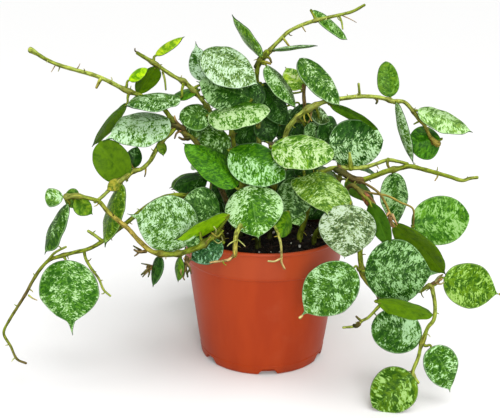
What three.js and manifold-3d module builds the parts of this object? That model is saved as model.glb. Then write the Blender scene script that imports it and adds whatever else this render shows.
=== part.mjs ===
// A young trailing hoya with small round silver-flecked leaves, in an eight centimetre nursery pot.
// Millimetres, +Z up. The origin is the middle of the pot's underside, on the surface it stands on.
// The leafy front, where most vines spill over the rim, faces -Y.

import * as THREE from "three";
import { mergeVertices } from "three/addons/utils/BufferGeometryUtils.js";
import Module from "manifold-3d";

// Driving dimensions of the pot
const rimRadius = 40;
const potHeight = 66;
const baseRadius = 32;
const collarHeight = 13.8;
const collarStep = 0.7;
const lipHeight = 1.6;
const wall = 1.3;
const floorThickness = 1.8;
const potSides = 32;

// Drain notches round the foot
const notchCount = 6;
const firstNotchAngle = -85;
const notchTopWidth = 6;
const notchFootWidth = 9.5;
const notchHeight = 3.3;
const notchDepth = 6;

// Soil
const soilTop = 61.5;
const soilGap = 0.4;
const soilLump = 0.9;
const soilSides = 20;
const holeGap = 0.6;
const footGap = 0.3;
const holeDepth = 9;
const straightAbove = 4;

// Stems and leaves
const stemSides = 5;
const twigSides = 4;
const stemStep = 8;
const stalkHalfWidth = 0.6;
const nearStart = 4;
const smallestScrap = 1;
const bladeThickness = 0.75;
const widestAt = 0.42;
const blunt = 0.45;
const bladeStations = [0, 0.06, 0.22, 0.48, 0.78, 1];
const mediumWidth = 19.5;
const mediumStations = [0, 0.08, 0.38, 0.74, 1];
const smallWidth = 12;
const smallStations = [0, 0.22, 0.62, 1];
const usualCup = 0.2;
const usualBend = 0.16;

const vineColour = 0x5c9440;
const potColour = 0xc4552f;
const soilColour = 0x1f1712;

// Each vine has one or more stems and its leaves. A stem gives its radius at both ends and its route.
// A leaf gives where its blade starts, where its point is, its width and the way its upper side faces.
const frontVines = [
  {
    name: "vine_left_high",
    stems: [
      {
        // leader
        thick: [1.5, 0.9],
        route: [
          [-12, -4, 61.5], [-18, -5, 79.5], [-25, -7, 96.5], [-30.5, -9, 107],
          [-34, -10, 113], [-40, -11, 117.5], [-43, -11, 120.5], [-48.5, -10, 128],
          [-54.5, -10, 131.5], [-60.5, -10, 134.5], [-65.5, -11, 136.5], [-74, -12, 141],
          [-79.5, -13, 143.5], [-88, -14, 146], [-96, -15, 148.5], [-101.5, -15, 151],
          [-107, -15, 154.5],
        ],
      },
      {
        // fall
        thick: [1.2, 0.8],
        route: [
          [-42.5, -11, 120], [-45, -14, 117], [-48.5, -17, 114], [-51.5, -20, 109.5],
          [-54, -21, 105], [-58, -23, 101.5], [-61, -24, 101], [-64.5, -26, 98.5],
          [-67, -27, 97], [-71.5, -29, 93.5], [-76, -31, 89.5], [-78.5, -32, 88],
        ],
      },
    ],
    leaves: [
      { base: [-64, -12, 141.5], tip: [-54.5, -14, 147.5], width: 6.5, faces: [0.3, -0.6, 0.7] }, // lime
      { base: [-66, -12, 130.5], tip: [-81.5, -16, 112.5], width: 16, faces: [-0.75, 0.35, 0.5] }, // lens
      { base: [-44.5, -13, 120], tip: [-74, -25, 117], width: 23, faces: [0, -0.45, 0.9] }, // silver
      { base: [-64, -25, 100], tip: [-77, -20, 114], width: 20, faces: [-0.1, 0.85, 0.3] }, // olive
      { base: [-61, -22, 102], tip: [-57, -19, 111], width: 10, faces: [0.5, 0.3, 0.6] }, // teal
      { base: [-49, -18, 114], tip: [-47.5, -21, 107.5], width: 6, faces: [0.6, -0.6, 0.3] }, // spur
      { base: [-29.5, -10, 94], tip: [-45.5, -15, 91], width: 20, faces: [-0.1, -0.5, 0.85] }, // low
      { base: [-67, -28, 96.5], tip: [-73.5, -31, 95.5], width: 7, faces: [0, -0.8, 0.6] }, // wedge
      { base: [-66, -28, 95], tip: [-74, -41, 71], width: 18, faces: [-0.88, -0.42, 0.1] }, // hang
    ],
  },
  {
    name: "vine_left_short",
    stems: [
      {
        // leader
        thick: [1.4, 0.9],
        route: [
          [-15.5, 8, 62], [-19.5, 7, 84], [-22.5, 5, 105], [-25, 2, 121.5],
          [-28, 0, 127], [-31.5, -2, 132], [-35, -3, 136], [-38.5, -4, 139.5],
          [-44.5, -5, 143], [-52.5, -6, 148.5], [-60.5, -7, 153.5],
        ],
      },
    ],
    leaves: [
      { base: [-52, -6, 152.5], tip: [-39, -4, 161.5], width: 9, faces: [-0.5, -0.25, 0.8] }, // lime
      { base: [-52.5, -4, 147], tip: [-63, 0, 133], width: 14, faces: [-0.6, 0.6, 0.5] }, // olive
      { base: [-25, 0, 111.5], tip: [-34, -2, 101], width: 17, faces: [-0.2, -0.95, 0.2] }, // mottled
      { base: [-35.5, -1, 135.5], tip: [-45.5, 3, 132], width: 13, faces: [0, 0.1, 1] }, // flat
      { base: [-39, -15, 133.5], tip: [-62.5, -28, 133], width: 19, faces: [0, -0.08, 1] }, // silver
      { base: [-27.5, -6, 127], tip: [-41, -14, 124.5], width: 18, faces: [-0.1, -0.7, 0.7] }, // crown
      { base: [-32, -3, 140.5], tip: [-34.5, -2, 158.5], width: 14, faces: [-0.35, -0.9, 0.1] }, // curled
      { base: [-28, -7, 152.5], tip: [-3, -17, 142], width: 24, faces: [0, -0.7, 0.7] }, // top
    ],
  },
  {
    name: "vine_left_trailing",
    stems: [
      {
        // leader
        thick: [1.5, 0.55],
        route: [
          [-20.5, -14, 63.5], [-25.5, -17, 74], [-31.5, -22, 84.5], [-38.5, -27, 90],
          [-44.5, -30, 90.5], [-51.5, -32, 88], [-61.5, -33, 80.5], [-65.5, -32, 77],
          [-71.5, -31, 72], [-76, -31, 68.5], [-82.5, -32, 65], [-89.5, -35, 64],
          [-95.5, -36, 62.5], [-100, -37, 61], [-104, -38, 57], [-108, -39, 51],
          [-111, -40, 45.5], [-115.5, -41, 38.5], [-119, -42, 33], [-122, -43, 26.5],
          [-119, -44, 20.5], [-116, -45, 14], [-112, -45, 12],
        ],
      },
      {
        // stub
        thick: [0.9, 0.7],
        route: [
          [-76, -31, 68.5], [-79, -31, 71], [-82.5, -31, 73.5],
        ],
      },
      {
        // twig
        thick: [0.8, 0.5],
        route: [
          [-84, -34, 65], [-83.5, -35, 61.5], [-81, -36, 57], [-77.5, -36, 51.5],
          [-75.5, -36, 46], [-72.5, -36, 43],
        ],
      },
      {
        // arch
        thick: [0.7, 0.5],
        route: [
          [-100.5, -37, 60.5], [-97.5, -38, 64.5], [-94.5, -38, 66.5], [-91.5, -38, 68],
        ],
      },
    ],
    leaves: [
      { base: [-92.5, -37, 61], tip: [-91, -40, 23.5], width: 28.5, faces: [0, -1, 0.12] }, // spade
    ],
  },
  {
    name: "vine_front_golden",
    stems: [
      {
        // leader
        thick: [1.5, 0.9],
        route: [
          [-20.5, -22, 62], [-20, -25, 67.5], [-21, -31, 73], [-22.5, -37, 74],
          [-26, -42, 73], [-30, -45, 71], [-33, -47, 70.5], [-40, -49, 69],
          [-50, -48, 69.5], [-56, -46, 73.5], [-61.5, -45, 79.5], [-66, -44, 83],
          [-70.5, -43, 86.5], [-74.5, -42, 91], [-79, -42, 92.5], [-84.5, -42, 93.5],
          [-89, -42, 93],
        ],
      },
    ],
    leaves: [
      { base: [-30.5, -44, 80], tip: [-57.5, -52, 86], width: 25, faces: [-0.1, -0.97, 0.2] }, // big
      { base: [-22.5, -35, 82.5], tip: [-36.5, -41, 90.5], width: 22, faces: [-0.2, -0.75, 0.6] }, // behind
      { base: [-19.5, -40, 81.5], tip: [-39.5, -54, 79.5], width: 18, faces: [-0.2, 0.62, 0.75] }, // under
      { base: [-20, -42, 70.5], tip: [-32.5, -47, 64.5], width: 16, faces: [-0.1, -0.8, 0.6] }, // rim
      { base: [-46.5, -48, 67.5], tip: [-51, -50, 54], width: 9, faces: [-0.6, -0.7, 0.2] }, // drop1
      { base: [-37, -49, 68], tip: [-38.5, -50, 56.5], width: 9, faces: [-0.7, -0.6, 0.2] }, // drop2
      { base: [-91, -42, 92.5], tip: [-98, -44, 92.5], width: 8, faces: [0, -0.95, 0.3] }, // cup
      { base: [-89.5, -41, 93.5], tip: [-84.5, -36, 93], width: 9, faces: [0, -0.2, 1] }, // hood
      { base: [-85.5, -41, 92], tip: [-76.5, -40, 86.5], width: 10, faces: [0.2, -0.5, 0.8] }, // low
      { base: [-87, -42, 89.5], tip: [-97, -46, 68], width: 13, faces: [-0.75, -0.6, 0.1] }, // hang
    ],
  },
  {
    name: "vine_front_centre",
    stems: [
      {
        // leader
        thick: [1.5, 1],
        route: [
          [-3, -22, 63.5], [-4, -25, 75.5], [-7, -26, 85.5], [-10.5, -24, 94],
          [-13.5, -20, 102], [-16, -18, 110],
        ],
      },
      {
        // rootleft
        thick: [1.1, 0.8],
        route: [
          [-6, -26, 83], [-10, -33, 79.5], [-13, -40, 76], [-13.5, -44, 71.5],
          [-13.5, -45.5, 67.5],
        ],
      },
      {
        // tanroot
        thick: [0.6, 0.4],
        route: [
          [-13.5, -45.5, 68], [-16, -47, 66], [-19.5, -49, 66], [-24.5, -50, 65.5],
        ],
      },
      {
        // rootright
        thick: [0.8, 0.5],
        route: [
          [-1.5, -24, 80.5], [3, -32, 79], [5.5, -39, 77], [7, -44, 73],
          [7.5, -45, 67.5], [7.5, -45, 64.5], [9, -45, 61],
        ],
      },
      {
        // rootfork
        thick: [0.5, 0.4],
        route: [
          [7.5, -45, 66.5], [4.5, -46, 65], [1.5, -46, 65],
        ],
      },
    ],
    leaves: [
      { base: [-10.5, -31, 94], tip: [-3, -40, 74], width: 26, faces: [-0.1, -0.95, 0.3] }, // front
      { base: [-17, -23, 110], tip: [9, -35, 102], width: 24, faces: [-0.05, -0.72, 0.68] }, // middle
      { base: [-37.5, -17, 113], tip: [-13, -31, 95], width: 20, faces: [0.45, -0.55, 0.7] }, // under
      { base: [8.5, -22, 80.5], tip: [10.5, -33, 70.5], width: 9, faces: [0.5, -0.8, 0.2] }, // spur
    ],
  },
  {
    name: "vine_crown_left",
    stems: [
      {
        // leader
        thick: [1.5, 0.9],
        route: [
          [-9, 2, 63], [-11, 0, 80.5], [-14, -2, 99], [-16, -4, 114.5],
          [-19, -5, 126], [-21.5, -3, 131.5], [-24, -1, 137],
        ],
      },
    ],
    leaves: [
      { base: [-25.5, -13, 123], tip: [1, -22, 130], width: 22, faces: [0, -0.35, 0.93] }, // silver
      { base: [-21, -8, 131], tip: [-31.5, -9, 139.5], width: 19, faces: [-0.3, -0.8, 0.5] }, // mottled
      { base: [-4.5, -2, 133], tip: [-21, -7, 133.5], width: 18, faces: [0, 0.15, 1] }, // shade
      { base: [-14, 1.5, 89.5], tip: [-26.5, 0.5, 80.5], width: 17, faces: [-0.15, -0.97, 0.15] }, // inner
      { base: [-16.5, -2, 111], tip: [-24.5, -7, 119], width: 14, faces: [-0.3, -0.85, 0.4] }, // inner
    ],
  },
  {
    name: "vine_crown_right",
    stems: [
      {
        // leader
        thick: [1.4, 0.9],
        route: [
          [3, -8, 64.5], [4, -10, 78.5], [4.5, -14, 92], [4.5, -17, 103],
          [4, -20, 110.5],
        ],
      },
      {
        // side
        thick: [1.2, 0.8],
        route: [
          [4, -10, 81], [12.5, -13, 89.5], [20.5, -17, 96.5], [27, -20, 100.5],
        ],
      },
    ],
    leaves: [
      { base: [5, -25, 113], tip: [30.5, -37, 108.5], width: 22, faces: [0, -0.6, 0.8] }, // silver
      { base: [26, -28, 102], tip: [27.5, -49, 88], width: 26, faces: [0.05, -0.55, 0.8] }, // kite
      { base: [17, -17, 93.5], tip: [9.5, -22, 74.5], width: 17, faces: [-0.2, -0.9, 0.3] }, // dark
      { base: [8, -9, 95.5], tip: [19, -6, 84.5], width: 16, faces: [0.2, -0.8, 0.5] }, // inner
      { base: [13.5, -15, 82.5], tip: [17, -22, 74], width: 11, faces: [0.3, -0.9, 0.2] }, // small
    ],
  },
  {
    name: "vine_top",
    stems: [
      {
        // leader
        thick: [1.6, 0.7],
        route: [
          [-0.5, 8, 63.5], [-1, 8, 84], [-2.5, 7, 105], [-3.5, 6, 122.5],
          [-4.5, 4, 140.5], [-3, 3, 149.5], [1, 3, 153.5], [3.5, 3, 156.5],
          [7, 3, 160], [10, 3, 163], [15.5, 3, 166], [22.5, 3, 168.5],
          [28.5, 3, 170], [35, 3, 171.5], [40.5, 3, 173], [46, 3, 176],
        ],
      },
      {
        // curl
        thick: [0.6, 0.4],
        route: [
          [34.5, 3, 171], [35.5, 2, 168], [36, 1, 165],
        ],
      },
    ],
    leaves: [
      { base: [-2.5, 1, 151.5], tip: [-17.5, -3, 169.5], width: 14, faces: [-0.85, -0.3, 0.6] }, // left
      { base: [-2, 4, 138.5], tip: [12, 2, 117.5], width: 16, faces: [0.6, -0.75, 0.2] }, // dark
      { base: [-4.5, 9, 116.5], tip: [-17, 11, 108.5], width: 17, faces: [-0.1, -0.85, 0.5] }, // inner
      { base: [1, 9, 96.5], tip: [-10, 8, 84.5], width: 17, faces: [-0.2, -0.85, 0.4] }, // inner
      { base: [2.5, 4, 154], tip: [23.5, 0, 158], width: 15, faces: [0, 0.15, 1] }, // edge
      { base: [22.5, 6, 172], tip: [39, 8, 160], width: 13, faces: [0.5, -0.5, 0.7] }, // crossed
      { base: [0.5, 0, 147.5], tip: [15.5, -9, 129], width: 18, faces: [0.75, -0.45, 0.5] }, // twotone
      { base: [9, 9, 135], tip: [13.5, 13, 146], width: 12, faces: [0.3, -0.8, 0.5] }, // lime
    ],
  },
  {
    name: "vine_right_arch",
    stems: [
      {
        // leader
        thick: [1.6, 0.8],
        route: [
          [12.5, 2, 62], [11, 1, 80.5], [9.5, -1, 99], [10.5, -3, 116.5],
          [15, -4, 123], [20, -5, 127.5], [26, -5, 130.5], [30.5, -5, 132],
          [37, -5, 133], [44.5, -5, 134], [52, -6, 134], [57.5, -6, 133],
          [61, -7, 132], [65.5, -7, 132], [69.5, -8, 128.5], [73, -8, 124],
          [76, -8, 121], [79, -9, 115.5], [80.5, -9, 112.5],
        ],
      },
      {
        // stub
        thick: [1.1, 0.8],
        route: [
          [19, -4, 127], [18.5, -1, 132.5], [18.5, 2, 138], [18, 3, 144.5],
        ],
      },
      {
        // nub
        thick: [0.7, 0.6],
        route: [
          [44.5, -5, 134], [44, -5, 140],
        ],
      },
      {
        // side
        thick: [0.6, 0.4],
        route: [
          [74, -8, 123], [71, -8, 121.5],
        ],
      },
    ],
    leaves: [
      { base: [16.5, 0, 150], tip: [35, -11, 131], width: 23, faces: [0.2, -0.85, 0.45] }, // mottled
      { base: [58.5, -5, 134], tip: [58, -3, 150], width: 11, faces: [0.15, -0.95, 0.1] }, // upright
      { base: [61, -9, 131], tip: [70, -13, 105], width: 17, faces: [-0.85, -0.35, 0.2] }, // narrow
      { base: [75, -10, 125], tip: [96.5, -16, 121.5], width: 14, faces: [0.15, -0.5, 0.85] }, // folded
      { base: [81.5, -8, 113], tip: [71.5, -10, 108.5], width: 13, faces: [-0.1, -0.9, 0.4] }, // cupped
      { base: [32.5, -2, 130], tip: [54.5, -8, 120], width: 17, faces: [0.2, 0.55, 0.8] }, // under
      { base: [31.5, -12, 104.5], tip: [56.5, -10, 115], width: 24, faces: [0, -0.93, 0.35] }, // disc
      { base: [27.5, 0, 126.5], tip: [39.5, 3, 112.5], width: 16, faces: [0.3, -0.8, 0.5] }, // inner
      { base: [11.5, 3, 106], tip: [22.5, 5, 94], width: 17, faces: [0.2, -0.85, 0.5] }, // inner
      { base: [17, -1, 122.5], tip: [26.5, 4, 111], width: 11, faces: [0.3, -0.7, 0.5] }, // pale
    ],
  },
  {
    name: "vine_right_long",
    stems: [
      {
        // upper
        thick: [1.6, 0.8],
        route: [
          [18, -10, 62.5], [20.5, -12, 76.5], [23, -15, 90], [28.5, -18, 100.5],
          [34, -20, 102.5], [40, -21, 102.5], [46, -21, 103], [51, -21, 104.5],
          [57.5, -20, 106.5], [61.5, -20, 106], [66.5, -21, 105],
        ],
      },
      {
        // lower
        thick: [1.5, 0.8],
        route: [
          [35, -20, 102], [39.5, -23, 99], [44.5, -25, 98], [50, -26, 100],
          [56, -26, 102.5], [62, -26, 104], [66.5, -26, 105], [72, -27, 104],
          [78.5, -28, 102.5], [84.5, -29, 101], [90.5, -30, 99.5], [93.5, -30, 100.5],
          [97, -30, 101],
        ],
      },
      {
        // spike
        thick: [0.7, 0.4],
        route: [
          [40, -21, 102.5], [39, -22, 110],
        ],
      },
    ],
    leaves: [
      { base: [60, -23, 101], tip: [63.5, -27, 76.5], width: 17, faces: [0.5, -0.85, 0.1] }, // striped
    ],
  },
  {
    name: "vine_right_outer",
    stems: [
      {
        // leader
        thick: [1.5, 0.8],
        route: [
          [25, -12, 62], [31, -17, 77], [36, -23, 89.5], [40, -28, 96],
          [45.5, -34, 92.5], [50, -38, 87.5], [54.5, -41, 77.5], [58.5, -43, 67.5],
          [64, -46, 58], [69.5, -50, 53], [74, -52, 56.5], [75.5, -53, 52.5],
          [76.5, -54, 46.5], [76, -55, 41], [73.5, -56, 38], [72, -57, 34],
          [70.5, -58, 29.5], [69.5, -59, 24.5], [67.5, -60, 19], [67, -61, 17.5],
          [69.5, -62, 13.5],
        ],
      },
      {
        // tan
        thick: [0.6, 0.4],
        route: [
          [43.5, -31, 94.5], [49, -34, 94], [55, -36, 93.5], [61, -38, 91],
          [66.5, -39, 88.5], [67, -40, 84.5], [67, -40, 79.5],
        ],
      },
    ],
    leaves: [
      { base: [67.5, -40, 81.5], tip: [92.5, -38, 86.5], width: 24, faces: [0, -0.95, 0.3] }, // light
      { base: [60, -38, 80], tip: [84.5, -44, 57.5], width: 20, faces: [0.6, 0.6, 0.5] }, // arched
      { base: [80.5, -52, 58.5], tip: [106, -49, 52], width: 22, faces: [0, -0.95, 0.3] }, // yellow
      { base: [72, -59, 30], tip: [86, -59, 7.5], width: 17, faces: [0.2, -0.95, 0.2] }, // lowright
      { base: [66, -62, 18], tip: [48.5, -66, 5], width: 23, faces: [-0.1, -0.92, 0.4] }, // lowest
      { base: [70, -56, 34], tip: [51.5, -51, 40], width: 23, faces: [0, -0.97, 0.25] }, // round
    ],
  },
  {
    name: "vine_right_inner",
    stems: [
      {
        // leader
        thick: [1.6, 0.9],
        route: [
          [28.5, -4, 62], [33.5, -12, 74.5], [38, -24, 81.5], [41.5, -33, 80],
          [44, -39, 75], [44, -42, 72.5], [43.5, -45, 67.5], [44, -47, 62],
          [46, -49, 57], [49, -50, 54], [52, -51, 50.5], [54, -52, 47.5],
        ],
      },
      {
        // twig
        thick: [0.8, 0.6],
        route: [
          [53.5, -52, 48], [51.5, -52, 46], [47, -52, 40.5], [44.5, -52, 39],
          [42, -52, 36.5], [36, -52, 35.5],
        ],
      },
    ],
    leaves: [
      { base: [39, -40, 89.5], tip: [36, -44, 65.5], width: 26, faces: [0, -0.95, 0.3] }, // grey
      { base: [46, -52, 63.5], tip: [75, -59, 65], width: 27, faces: [0, -0.97, 0.25] }, // blue
      { base: [40.5, -52, 64], tip: [16.5, -54, 41.5], width: 25, faces: [-0.1, -0.97, 0.2] }, // left
      { base: [50.5, -54, 53], tip: [73, -64, 50], width: 18, faces: [0, 0.7, 0.7] }, // under
    ],
  },
  {
    name: "vine_crown_back_left",
    stems: [
      {
        // leader
        thick: [1.4, 0.9],
        route: [
          [-6, 10, 62], [-8, 13, 80], [-12, 19, 102], [-16, 26, 118],
        ],
      },
    ],
    leaves: [
      { base: [-19, 30, 117], tip: [-34, 46, 112], width: 20, faces: [-0.3, 0.4, 0.9] }, // a
      { base: [-14, 30, 120], tip: [-6, 52, 122], width: 21, faces: [0.1, 0.1, 1] }, // b
      { base: [-17, 20, 107], tip: [-38, 26, 107], width: 21, faces: [-0.4, 0.4, 0.8] }, // c
      { base: [-11, 23, 103], tip: [-12, 46, 104], width: 20, faces: [0, 0.3, 1] }, // d
      { base: [-17, 24, 116], tip: [-34, 14, 124], width: 20, faces: [-0.3, -0.4, 0.9] }, // e
    ],
  },
  {
    name: "vine_crown_back_right",
    stems: [
      {
        // leader
        thick: [1.4, 0.9],
        route: [
          [10, 12, 62], [13, 15, 80], [18, 20, 102], [22, 24, 116],
        ],
      },
    ],
    leaves: [
      { base: [26, 26, 116], tip: [42, 40, 108], width: 20, faces: [0.4, 0.3, 0.9] }, // a
      { base: [20, 28, 118], tip: [14, 48, 120], width: 21, faces: [0, 0.1, 1] }, // b
      { base: [23, 21, 106], tip: [43, 28, 106], width: 19, faces: [0.4, 0.3, 0.8] }, // c
      { base: [17, 24, 103], tip: [18, 48, 106], width: 20, faces: [0, 0.3, 1] }, // d
      { base: [24, 20, 116], tip: [34, 6, 120], width: 18, faces: [0.3, -0.4, 0.9] }, // e
    ],
  },];

// The vines behind carry leaves in pairs by a rule, turned a little by a seeded draw.
const backVines = [
  {
    name: "vine_back_left",
    thick: [1.5, 0.9],
    route: [
      [-13, 16, 62], [-14, 19, 74], [-17, 30, 90], [-22, 44, 94],
      [-27, 56, 85], [-30, 63, 69], [-30, 67, 51], [-29, 69, 35],
    ],
    firstPair: 0.42,
    pairs: 4,
    seed: 11,
  },
  {
    name: "vine_back_centre",
    thick: [1.5, 0.8],
    route: [
      [2, 22, 62], [3, 26, 76], [4, 40, 98], [5, 58, 98],
      [6, 75, 84], [6, 85, 62], [5, 89, 42], [3, 90, 24],
    ],
    firstPair: 0.42,
    pairs: 4,
    seed: 41,
  },
  {
    name: "vine_back_right",
    thick: [1.5, 0.9],
    route: [
      [18, 14, 62], [22, 18, 76], [31, 32, 96], [40, 46, 96],
      [44, 57, 84], [45, 64, 68], [44, 67, 52],
    ],
    firstPair: 0.36,
    pairs: 4,
    seed: 37,
  },
];
const backLeafLength = 25;
const backLeafWidth = 21;
const backLeafSpread = 0.75;
const backLeafForward = 0.6;
const petioleLength = 5;

// A repeatable stream of numbers from 0 to 1
function randomStream(seed) {
  let state = seed;
  return () => {
    state = (state * 16807) % 2147483647;
    return state / 2147483647;
  };
}

const vector = (p) => new THREE.Vector3(...p);

const wasm = await Module();
wasm.setup();

// A closed geometry as a solid that can be joined or cut
function solidOf(geometry) {
  const bare = geometry.clone();
  bare.deleteAttribute("normal");
  bare.deleteAttribute("uv");
  const merged = mergeVertices(bare, 1e-4);
  return new wasm.Manifold(
    new wasm.Mesh({
      numProp: 3,
      vertProperties: new Float32Array(merged.attributes.position.array),
      triVerts: new Uint32Array(merged.index.array),
    }),
  );
}

function geometryOf(solid) {
  const mesh = solid.getMesh();
  const geometry = new THREE.BufferGeometry();
  geometry.setAttribute("position", new THREE.BufferAttribute(mesh.vertProperties, 3));
  geometry.setIndex(new THREE.BufferAttribute(mesh.triVerts, 1));
  geometry.computeVertexNormals();
  return geometry;
}

function polygon(sides, radius) {
  const corners = [];
  for (let i = 0; i < sides; i += 1) {
    const angle = (2 * Math.PI * i) / sides;
    corners.push(new THREE.Vector2(radius * Math.cos(angle), radius * Math.sin(angle)));
  }
  return new THREE.Shape(corners);
}

const curveAlong = (route) => new THREE.CatmullRomCurve3(route.map(vector), false, "centripetal");
const stepsAlong = (curve, step) => Math.max(1, Math.round(curve.getLength() / step));

// A stem along a smooth curve, drawn thinner towards its end
function stemGeometry(route, thick, sides, step) {
  const curve = curveAlong(route);
  const steps = stepsAlong(curve, step);
  const geometry = new THREE.ExtrudeGeometry(polygon(sides, thick[0]), {
    steps,
    bevelEnabled: false,
    extrudePath: curve,
  });
  const centres = curve.getSpacedPoints(steps);
  const position = geometry.attributes.position;
  const point = new THREE.Vector3();
  for (let i = 0; i < position.count; i += 1) {
    point.fromBufferAttribute(position, i);
    let nearest = 0;
    centres.forEach((centre, k) => {
      if (centre.distanceTo(point) < centres[nearest].distanceTo(point)) nearest = k;
    });
    const slimmer = 1 + (thick[1] / thick[0] - 1) * (nearest / steps);
    point.sub(centres[nearest]).multiplyScalar(slimmer).add(centres[nearest]);
    position.setXYZ(i, point.x, point.y, point.z);
  }
  return geometry;
}

// Half the blade's width, as a share of its widest, from the base at 0 to the point at 1
function outline(s) {
  if (s < widestAt) {
    const u = (widestAt - s) / widestAt;
    return Math.sqrt(1 - u * u);
  }
  const u = (s - widestAt) / (1 - widestAt);
  return 1 - u ** 1.9;
}

// The point of a vine's stems that lies nearest to a leaf's base
function nearestOnStems(stems, point) {
  let best = null;
  for (const { route } of stems) {
    const curve = curveAlong(route);
    const centres = curve.getSpacedPoints(stepsAlong(curve, stemStep));
    for (let i = 1; i < centres.length; i += 1) {
      const chord = new THREE.Line3(centres[i - 1], centres[i]);
      const p = chord.closestPointToPoint(point, true, new THREE.Vector3());
      if (!best || p.distanceTo(point) < best.distanceTo(point)) best = p;
    }
  }
  return best;
}

// A spade-shaped leaf on its stalk, domed across its rib and curled down towards its point.
// It is a row of flat rings: one where the stalk leaves the stem, the rest round the blade.
function leafGeometry(stems, { base, tip, width, faces, cup = usualCup, bend = usualBend }) {
  const start = vector(base);
  const along = vector(tip).sub(start);
  const length = along.length();
  along.normalize();
  const up = vector(faces);
  up.addScaledVector(along, -up.dot(along)).normalize();
  const side = new THREE.Vector3().crossVectors(up, along);
  const corners = [];
  const ring = (centre, half, thickness, drop, sideways, upward) => {
    for (const level of [thickness / 2, -thickness / 2]) {
      for (const across of [1, 0, -1]) {
        const p = centre.clone().addScaledVector(sideways, across * half);
        p.addScaledVector(upward, level - drop * Math.abs(across));
        corners.push(p.x, p.y, p.z);
      }
    }
  };

  const foot = nearestOnStems(stems, start);
  const stalk = start.clone().sub(foot).normalize();
  const turn = new THREE.Quaternion().setFromUnitVectors(along, stalk);
  const sideways = side.clone().applyQuaternion(turn);
  const upward = up.clone().applyQuaternion(turn);
  ring(foot, stalkHalfWidth, 2 * stalkHalfWidth, 0, sideways, upward);
  const middling = width < mediumWidth ? mediumStations : bladeStations;
  for (const s of width < smallWidth ? smallStations : middling) {
    const half = Math.max(s === 0 ? stalkHalfWidth : blunt, (outline(s) * width) / 2);
    const rise = bend * length * (0.09 - (s - 0.3) ** 2);
    const centre = start.clone().addScaledVector(along, s * length).addScaledVector(up, rise);
    ring(centre, half, bladeThickness, cup * half, side, up);
  }

  const faceList = [];
  const quad = (a, b, c, d) => faceList.push(a, b, c, a, c, d);
  const last = corners.length / (3 * 6) - 1;
  for (let i = 0; i < last; i += 1) {
    const a = 6 * i;
    const b = a + 6;
    for (const k of [0, 1]) {
      quad(a + k + 1, b + k + 1, b + k, a + k);
      faceList.push(a + k + 4, b + k + 3, b + k + 4, a + k + 4, a + k + 3, b + k + 3);
    }
    quad(a + 5, b + 5, b + 2, a + 2);
    quad(a, b, b + 3, a + 3);
  }
  const z = 6 * last;
  quad(1, 0, 3, 4);
  quad(2, 1, 4, 5);
  quad(z + 4, z + 3, z, z + 1);
  quad(z + 5, z + 4, z + 1, z + 2);
  const geometry = new THREE.BufferGeometry();
  geometry.setAttribute("position", new THREE.Float32BufferAttribute(corners, 3));
  geometry.setIndex(faceList);
  return geometry;
}

// One vine: its stems, leaf stalks and blades grown together as one body.
// Specks that come loose or are sealed in where blades meet are dropped.
function vineSolid({ stems, leaves }) {
  let solid = null;
  const grow = (geometry) => {
    const piece = solidOf(geometry);
    solid = solid ? solid.add(piece) : piece;
  };
  stems.forEach(({ route, thick }, i) => {
    grow(stemGeometry(route, thick, i === 0 ? stemSides : twigSides, stemStep));
  });
  for (const leaf of leaves) grow(leafGeometry(stems, leaf));
  const whole = solid.decompose().filter((piece) => piece.volume() > smallestScrap);
  return whole.reduce((a, b) => a.add(b));
}

// Leaves in pairs along a stem, each reaching sideways and down from it
function pairedLeaves({ route, firstPair, pairs, seed }) {
  const curve = curveAlong(route);
  const random = randomStream(seed);
  const vary = (amount) => (random() - 0.5) * amount;
  const leaves = [];
  for (let i = 0; i < pairs; i += 1) {
    const u = firstPair + ((1 - firstPair) * i) / (pairs - 0.6);
    const node = curve.getPointAt(u);
    const tangent = curve.getTangentAt(u);
    const away = new THREE.Vector3(node.x, node.y, 0).normalize();
    const across = new THREE.Vector3().crossVectors(away, tangent).normalize();
    const out = new THREE.Vector3().crossVectors(tangent, across).normalize();
    for (const hand of [-1, 1]) {
      const reach = across.clone().multiplyScalar(hand * (backLeafSpread + vary(0.2)));
      reach.addScaledVector(tangent, backLeafForward + vary(0.3));
      reach.addScaledVector(out, 0.3 + vary(0.2)).normalize();
      const size = 1 - 0.28 * (i / pairs) + vary(0.16);
      const base = node.clone().addScaledVector(reach, petioleLength);
      const tip = base.clone().addScaledVector(reach, backLeafLength * size);
      const faces = out.clone().addScaledVector(across, hand * 0.2);
      leaves.push({
        base: base.toArray(),
        tip: tip.toArray(),
        width: backLeafWidth * size,
        faces: faces.toArray(),
      });
    }
  }
  return leaves;
}

function lathe(points, sides) {
  const outlinePoints = points.map(([radius, z]) => new THREE.Vector2(radius, z));
  const geometry = new THREE.LatheGeometry(outlinePoints, sides);
  geometry.rotateX(Math.PI / 2);
  return geometry;
}

// The pot's outer radius at a height, along its plain tapering wall
const collarFoot = potHeight - collarHeight;
const bodyTopRadius = rimRadius - 0.5 - collarStep;
const bodyRadius = (z) => baseRadius + ((bodyTopRadius - baseRadius) * z) / collarFoot;
const innerRadius = (z) => bodyRadius(z) - wall;

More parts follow.
